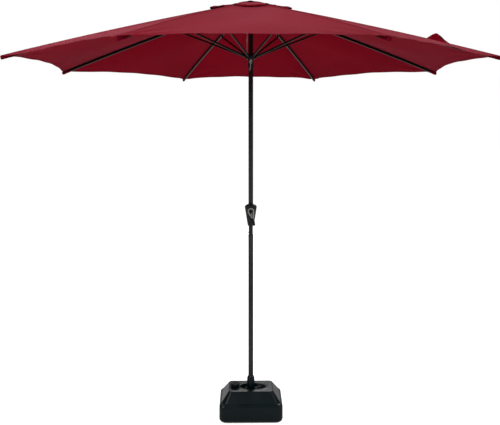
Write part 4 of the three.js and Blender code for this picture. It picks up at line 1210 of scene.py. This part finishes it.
def base_tank():
    """The blow-moulded tank: rounded skirt, faceted top, oval well round the socket, filler neck."""
    low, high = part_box("base_tank")
    width, depth = high.x - low.x, high.y - low.y
    skirt = Shape()
    rings = foot_rings(width, depth, np.linspace(0, math.pi / 2, 7))
    rings.append(level(rounded_rectangle(width, depth, SKIRT_CORNER), SKIRT_TOP))
    narrow = 2 * SHOULDER_INSET
    rings.append(level(rounded_rectangle(width - narrow, depth - narrow, SKIRT_CORNER), SHOULDER_TOP))
    skirt.loft(rings)
    facets = Shape().loft([
        level(cut_rectangle(width - narrow - 0.001, depth - narrow - 0.001, FACET_CHAMFER, BACK_CHAMFER),
              SHOULDER_TOP - 0.003),
        level(cut_rectangle(TOP_WIDTH, TOP_DEPTH, TOP_CHAMFER, TOP_CHAMFER), TANK_TOP),
    ])
    cap_low, cap_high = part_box("filler_cap")
    filler = ((cap_low.x + cap_high.x) / 2, (cap_low.y + cap_high.y) / 2)
    neck_bottom = TANK_TOP - 0.01
    neck = [(0, neck_bottom), (NECK_RADIUS, neck_bottom), (NECK_RADIUS, high.z), (0, high.z)]
    neck = turned(Shape(), neck, 40, centre=filler)
    oval = circle(1.0, 72) * WELL_HALF
    rim = Shape().loft([level(oval * size + WELL_CENTRE, TANK_TOP + rise) for size, rise in (
        (1.15, -0.006), (1.13, 0.001), (1.09, 0.004), (1.0, 0.004))])
    well = Shape().loft([level(oval * size + WELL_CENTRE, z) for size, z in (
        (0.45, WELL_FLOOR), (0.66, WELL_FLOOR + 0.002), (0.84, WELL_FLOOR + 0.008),
        (0.96, WELL_FLOOR + 0.018), (1.02, TANK_TOP + 0.002), (1.05, TANK_TOP + 0.010))])
    socket_low, socket_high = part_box("socket_tube")
    bore = turned(Shape(), [(0, socket_low.z), (socket_high.x + 0.001, socket_low.z),
                            (socket_high.x + 0.001, WELL_FLOOR + 0.01), (0, WELL_FLOOR + 0.01)], 48)
    body = skirt.object("tank_shell", BASE_LOOK)
    tools = []
    for operation, shape in (("UNION", facets), ("UNION", rim), ("UNION", neck),
                             ("DIFFERENCE", well), ("DIFFERENCE", bore)):
        tool = shape.object("tool", BASE_LOOK)
        tools.append(tool)
        cut = body.modifiers.new(operation, "BOOLEAN")
        cut.operation = operation
        cut.object = tool
        cut.solver = "EXACT"
    grid = body.modifiers.new("voxels", "REMESH")
    grid.mode = "VOXEL"
    grid.voxel_size = VOXEL
    soft = body.modifiers.new("rounded", "SMOOTH")
    soft.factor = SMOOTH_SHARE
    soft.iterations = SMOOTH_STEPS
    bpy.context.view_layer.update()
    evaluated = body.evaluated_get(bpy.context.evaluated_depsgraph_get())
    mesh = bpy.data.meshes.new_from_object(evaluated)
    body.modifiers.clear()
    body.data = mesh
    for tool in tools:
        bpy.data.objects.remove(tool)
    mesh.shade_smooth()
    mesh.materials.clear()
    mesh.materials.append(BASE_LOOK)
    stand_in(body, "base", "base_plastic", "base_tank")


base_tank()


# ---------- moulded and turned parts ----------

PLASTIC = "frame_plastic"
FINE_PARTS = (
    # node, look, slot, edge radius
    ("crown_hub", BLACK_LOOK, PLASTIC, 0.0006),
    ("crown_cover", BLACK_LOOK, PLASTIC, 0.0005),
    ("runner", BLACK_LOOK, PLASTIC, 0.0008),
    ("crank_housing_front", BLACK_LOOK, PLASTIC, 0.0010),
    ("crank_housing_back", BLACK_LOOK, PLASTIC, 0.0010),
    ("crank_screw", CAP_LOOK, PLASTIC, 0.0008),
    ("crank_knob", KNOB_LOOK, PLASTIC, 0.0008),
    ("lock_button", ZINC_LOOK, "zinc", 0.0006),
    ("joint_bush", BLACK_LOOK, PLASTIC, 0.0004),
    ("neck_tube", STEEL_LOOK, "steel", 0.0003),
    ("clamp_screw_left", DARK_ZINC_LOOK, "zinc", 0.0006),
    ("clamp_screw_right", DARK_ZINC_LOOK, "zinc", 0.0006),
)
for node, look, slot, bevel in FINE_PARTS:
    refined(node, look, slot, bevel)


FINIAL_STEM = 0.009
CAP_BORE = 0.0256
CAP_SIDES, CAP_RIDGES = 144, 18


def finial():
    low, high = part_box("finial")
    radius, stem = (high.x - low.x) / 2, FINIAL_STEM
    seat, top = low.z + 0.004, high.z
    rise = top - seat
    profile = [(0, low.z), (stem, low.z), (stem, seat + 0.001), (radius * 0.82, seat),
               (radius * 0.96, seat + 0.001)]
    profile += [(radius * math.cos(a) ** 0.8, seat + 0.003 + (rise - 0.003) * math.sin(a))
                for a in np.linspace(0, math.pi / 2 - 0.02, 12)]
    piece = turned(Shape(), profile, 56).object("finial_knob", BLACK_LOOK, crease=50)
    stand_in(piece, "upper_mast", PLASTIC, "finial")


def socket():
    """The pole's socket, with the collar and lip at its mouth."""
    low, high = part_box("socket_tube")
    radius, bore = high.x, (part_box("lower_pole")[1].x + 0.0006)
    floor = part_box("lower_pole")[0].z - 0.0004
    top = high.z
    profile = [(0, low.z), (radius, low.z), (radius, top - 0.016), (radius - 0.0004, top - 0.0135),
               (radius - 0.0014, top - 0.011), (bore + 0.0016, top - 0.0008), (bore + 0.0008, top),
               (bore, top - 0.001), (bore, floor), (0, floor)]
    piece = turned(Shape(), profile, 56).object("socket_sleeve", BASE_LOOK, crease=45)
    stand_in(piece, "base", "base_plastic", "socket_tube")


def water():
    """The water in the tank, a wall's width inside it and rounded like it."""
    low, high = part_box("base_tank")
    width, depth = high.x - low.x - 2 * WATER_INSET, high.y - low.y - 2 * WATER_INSET
    rings = foot_rings(width, depth, np.linspace(0.2, math.pi / 2, 6), WATER_INSET)
    rings.append(level(rounded_rectangle(width, depth, SKIRT_CORNER), SKIRT_TOP - WATER_INSET))
    rings.append(level(rounded_rectangle(width - 0.08, depth - 0.06, 2 * SKIRT_CORNER), WATER_TOP))
    piece = Shape().loft(rings).object("water_fill", WATER_LOOK)
    stand_in(piece, NODES["water_ballast"]["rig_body"], "water", "water_ballast")


def filler_cap():
    """A screw cap with a ribbed rim and a dished top with a grip bar."""
    low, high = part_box("filler_cap")
    centre = ((low.x + high.x) / 2, (low.y + high.y) / 2)
    radius, inner, sides = (high.x - low.x) / 2, CAP_BORE, CAP_SIDES
    ridge = np.clip(1.6 * np.cos(np.arange(sides) * 2 * math.pi * CAP_RIDGES / sides), -1, 1)
    rings = []
    for size, depth, z in (
        (inner, 0, low.z), (radius - 0.0004, 0.0011, low.z), (radius, 0.0011, low.z + 0.001),
        (radius, 0.0011, high.z - 0.005), (radius - 0.0012, 0.0008, high.z - 0.0025),
        (radius - 0.0035, 0, high.z - 0.0006), (radius - 0.006, 0, high.z),
        (radius - 0.008, 0, high.z - 0.0006), (radius - 0.010, 0, high.z - 0.003),
        (0.001, 0, high.z - 0.0032),
    ):
        reach = size - depth * (1 - ridge)
        rings.append(level(circle(1.0, sides) * reach[:, None] + centre, z))
    hollow = [level(circle(size, sides) + centre, high.z - 0.008) for size in (0.001, inner)]
    shape = Shape().loft(hollow + rings)
    bar = rounded_section(0.0042, 0.0022, 0.0018)
    turn = np.array([[0.82, -0.57, 0], [0.57, 0.82, 0], [0, 0, 1]])
    shape.loft([crosswise(bar, reach, 0.0, size) @ turn.T + [*centre, high.z - 0.0025]
                for reach, size in ((-0.0175, 0.6), (-0.0165, 1.0), (0.0165, 1.0), (0.0175, 0.6))])
    piece = shape.object("filler_cap_ribbed", CAP_LOOK, crease=35)
    stand_in(piece, "cap", PLASTIC, "filler_cap")


CRANK_PLATE_RADIUS, CRANK_NECK_RADIUS, CRANK_HANDLE_RADIUS = 0.0205, 0.0085, 0.0072
CRANK_NECK = (0.011, -0.036)
CRANK_THICKNESS = 0.004


def link_outline(start, start_radius, end, end_radius, steps=20):
    """The outline round two circles, as seen from the front: (x, z) pairs."""
    run = np.subtract(end, start)
    heading = math.atan2(run[1], run[0])
    wrap = math.acos((start_radius - end_radius) / math.hypot(*run))
    points = []
    for centre, radius, first, last in (
        (start, start_radius, heading + wrap, heading - wrap + 2 * math.pi),
        (end, end_radius, heading - wrap, heading + wrap),
    ):
        for angle in np.linspace(first, last, steps):
            points.append((centre[0] + radius * math.cos(angle), centre[1] + radius * math.sin(angle)))
    return np.array(points)


def crank_arm():
    """A rimmed drop-shaped plate with a ribbed inlay, and the dark handle with a light grey strip along
    one edge: a painted highlight.
    """
    low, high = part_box("crank_arm")
    centre = JOINTS["crank_turn"]["pos_m"]
    knob = JOINTS["knob_spin"]["pos_m"]
    end = (knob[0] - centre[0], knob[2] - centre[2])
    back, front = high.y, high.y - CRANK_THICKNESS

    def upright(outline, y, place=centre):
        depths = np.full(len(outline), y)
        return np.column_stack([outline[:, 0] + place[0], depths, outline[:, 1] + place[2]])

    def plate_rings(steps, start, start_radius, stop, stop_radius):
        return [upright(link_outline(start, start_radius - inset, stop, stop_radius - inset), y)
                for inset, y in steps]

    hub = (0.0, 0.0)
    rim = ((0.0006, back), (0, back - 0.0006), (0, front + 0.0009), (0.0009, front), (0.0034, front),
           (0.0042, front + 0.0012))
    shape = Shape()
    shape.loft(plate_rings(rim, hub, CRANK_PLATE_RADIUS, CRANK_NECK, CRANK_NECK_RADIUS))
    inlay = ((0.0044, front + 0.0014), (0.0044, front + 0.0009), (0.0052, front + 0.0007))
    shape.loft(plate_rings(inlay, hub, CRANK_PLATE_RADIUS, CRANK_NECK, CRANK_NECK_RADIUS), 1)
    heading = np.array(CRANK_NECK) / math.hypot(*CRANK_NECK)
    for offset in (-0.0022, 0.0022):
        side = np.array([-heading[1], heading[0]]) * offset
        bar = link_outline(heading * 0.017 + side, 0.0008, heading * 0.037 + side * 0.7, 0.0007, 8)
        shape.loft([upright(bar, y) for y in (front + 0.001, front - 0.0001)])
    handle = ((0.0006, back - 0.0002), (0, back - 0.0008), (0, front + 0.0014), (0.0010, front + 0.0006))
    narrowed = CRANK_HANDLE_RADIUS - 0.0005
    shape.loft(plate_rings(handle, CRANK_NECK, CRANK_HANDLE_RADIUS, end, narrowed), 2)
    # Painted highlight: a strip of the light grey plastic along the handle's one edge.
    highlight_start, highlight_end = np.add(CRANK_NECK, (0.0062, -0.004)), np.add(end, (0.0058, 0.012))
    edge = link_outline(highlight_start, 0.0013, highlight_end, 0.0010, 8)
    shape.loft([upright(edge, y) for y in (front + 0.002, front - 0.0004)])
    pin = circle(0.003, 16)
    shape.loft([upright(pin, y, knob) for y in (front + 0.002, low.y)], 3)
    piece = shape.object("crank_arm_rimmed", GREY_LOOK, INLAY_LOOK, BLACK_LOOK, ZINC_LOOK, crease=35)
    stand_in(piece, "crank", "crank_plastic", "crank_arm")


finial()
socket()
water()
filler_cap()
crank_arm()

CARRIED_OVER = (
    ("crown_pin_ring", ZINC_LOOK), ("crown_pulley", BLACK_LOOK), ("winch_drum", ZINC_LOOK),
    ("hoist_cord", CORD_LOOK),
)
for node, look in CARRIED_OVER:
    NODES[node].data.materials.clear()
    NODES[node].data.materials.append(look)


# ---------- cords ----------

KNOT_HEIGHT = 2.415
TAIL_RADIUS = 0.0018
TAIL_KNOT = 0.11  # as a share of the tail's length
RING_RADIUS = 0.0016


def lift_cord():
    """Over the pulley and down to the runner, with the knot that marks its length."""
    low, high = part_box("lift_cord")
    pulley = JOINTS["pulley_turn"]["pos_m"]
    radius = high.z - CORD_RADIUS - pulley[2]
    turn = np.linspace(0, math.pi, 26)
    over = np.column_stack([radius * np.cos(turn), np.zeros(26), radius * np.sin(turn)])
    over += (pulley[0], 0.0, pulley[2])
    x = pulley[0] - radius
    heights = np.arange(pulley[2] - 0.0025, low.z, -0.0025)
    fall = np.column_stack([np.full(len(heights), x), np.zeros(len(heights)), heights])
    path = np.concatenate([over, fall, [[x, 0.0, low.z]]])
    above_knot = path[:, 2] - KNOT_HEIGHT
    swell = 1 + 0.9 * np.exp(-((above_knot / 0.005) ** 2))
    swell += 0.8 * np.exp(-(((above_knot - 0.012) / 0.004) ** 2))
    swell[:26] = 1
    shape = rope(Shape(), path, CORD_RADIUS, swell=swell)
    piece = shape.object("lift_rope", CORD_LOOK, crease=80)
    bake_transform(piece)
    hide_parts("lift_cord")


def cord_tail():
    """The cord's knotted end under the runner."""
    low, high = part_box("cord_tail")
    x, y = (low.x + high.x) / 2, (low.y + high.y) / 2
    heights = np.linspace(high.z, low.z, 34)
    down = (high.z - heights) / (high.z - low.z)
    path = np.column_stack([x - 0.007 * down**2, np.full(34, y), heights])
    swell = 1 + 1.15 * np.exp(-(((down - TAIL_KNOT) / 0.05) ** 2))
    swell += 0.25 * np.exp(-(((down - 1) / 0.03) ** 2))
    shape = rope(Shape(), path, TAIL_RADIUS, pitch=0.009, swell=swell)
    loop = np.linspace(0, 2 * math.pi, 29)
    knot = high.z - TAIL_KNOT * (high.z - low.z)
    ring = np.column_stack([0.0085 * np.sin(loop), np.zeros(29), 0.0095 * np.cos(loop)])
    ring += (x, y - 0.0035, knot - 0.0095)
    ring = rope(Shape(), ring, RING_RADIUS, pitch=0.009)
    loop_piece = ring.object("rope_loop", CORD_LOOK, crease=80)
    stand_in(loop_piece, "runner_body", "cord")
    piece = shape.object("rope_end", CORD_LOOK, crease=80)
    stand_in(piece, "runner_body", "cord", "cord_tail")


lift_cord()
cord_tail()


# ---------- floor and light ----------


FLOOR_GLOW = 0.78  # seen by the camera only, so that the floor shows almost white
SKY_LIGHT = 0.30
AIM = Vector((0, 0, 1.8))
LAMPS = (
    # name, place, size, watts
    ("key", (-3.2, -4.2, 5.6), 3.0, 260),
    ("fill", (4.6, -2.4, 4.2), 3.0, 120),
    ("back", (0.5, 5.0, 4.8), 3.0, 200),
)


def floor():
    look = Finish("floor", 0.9, Specular_IOR_Level=0.1)
    look.colour(look.blend(look.noise(3, 4, 0.5), (0.86, 0.86, 0.86), (0.9, 0.9, 0.9)))
    plain = look.shader.outputs[0]
    glow = look.node("ShaderNodeEmission", {"Strength": FLOOR_GLOW}).outputs[0]
    seen = look.node("ShaderNodeLightPath").outputs["Is Camera Ray"]
    both = look.node("ShaderNodeAddShader", {0: plain, 1: glow}).outputs[0]
    mix = look.node("ShaderNodeMixShader", {"Fac": seen, 1: plain, 2: both})
    feed(look.tree, look.tree.nodes["Material Output"].inputs["Surface"], mix.outputs[0])
    disc = Shape().loft([level(circle(40.0, 64), z) for z in (-0.05, -0.0005)])
    disc.object("floor", look.material)


def sky():
    """A soft light from all sides, which the camera sees as white."""
    world = bpy.data.worlds.new("studio")
    bpy.context.scene.world = world
    world.use_nodes = True
    tree = world.node_tree
    soft = tree.nodes["Background"]
    feed(tree, soft.inputs["Color"], (1, 1, 1))
    feed(tree, soft.inputs["Strength"], SKY_LIGHT)
    white = add_node(tree, "ShaderNodeBackground", {"Color": (1, 1, 1), "Strength": 1.0})
    seen = add_node(tree, "ShaderNodeLightPath").outputs["Is Camera Ray"]
    mix = add_node(tree, "ShaderNodeMixShader", {"Fac": seen, 1: soft.outputs[0], 2: white.outputs[0]})
    feed(tree, tree.nodes["World Output"].inputs["Surface"], mix.outputs[0])


def lamps():
    for name, place, size, power in LAMPS:
        data = bpy.data.lights.new(name, "AREA")
        data.shape = "DISK"
        data.size = size
        data.energy = power
        lamp = add_object(name, data)
        lamp.location = place
        lamp.rotation_euler = (AIM - Vector(place)).to_track_quat("-Z", "Y").to_euler()
        lamp.visible_camera = False


floor()
sky()
lamps()
bpy.context.scene.view_settings.view_transform = "Standard"
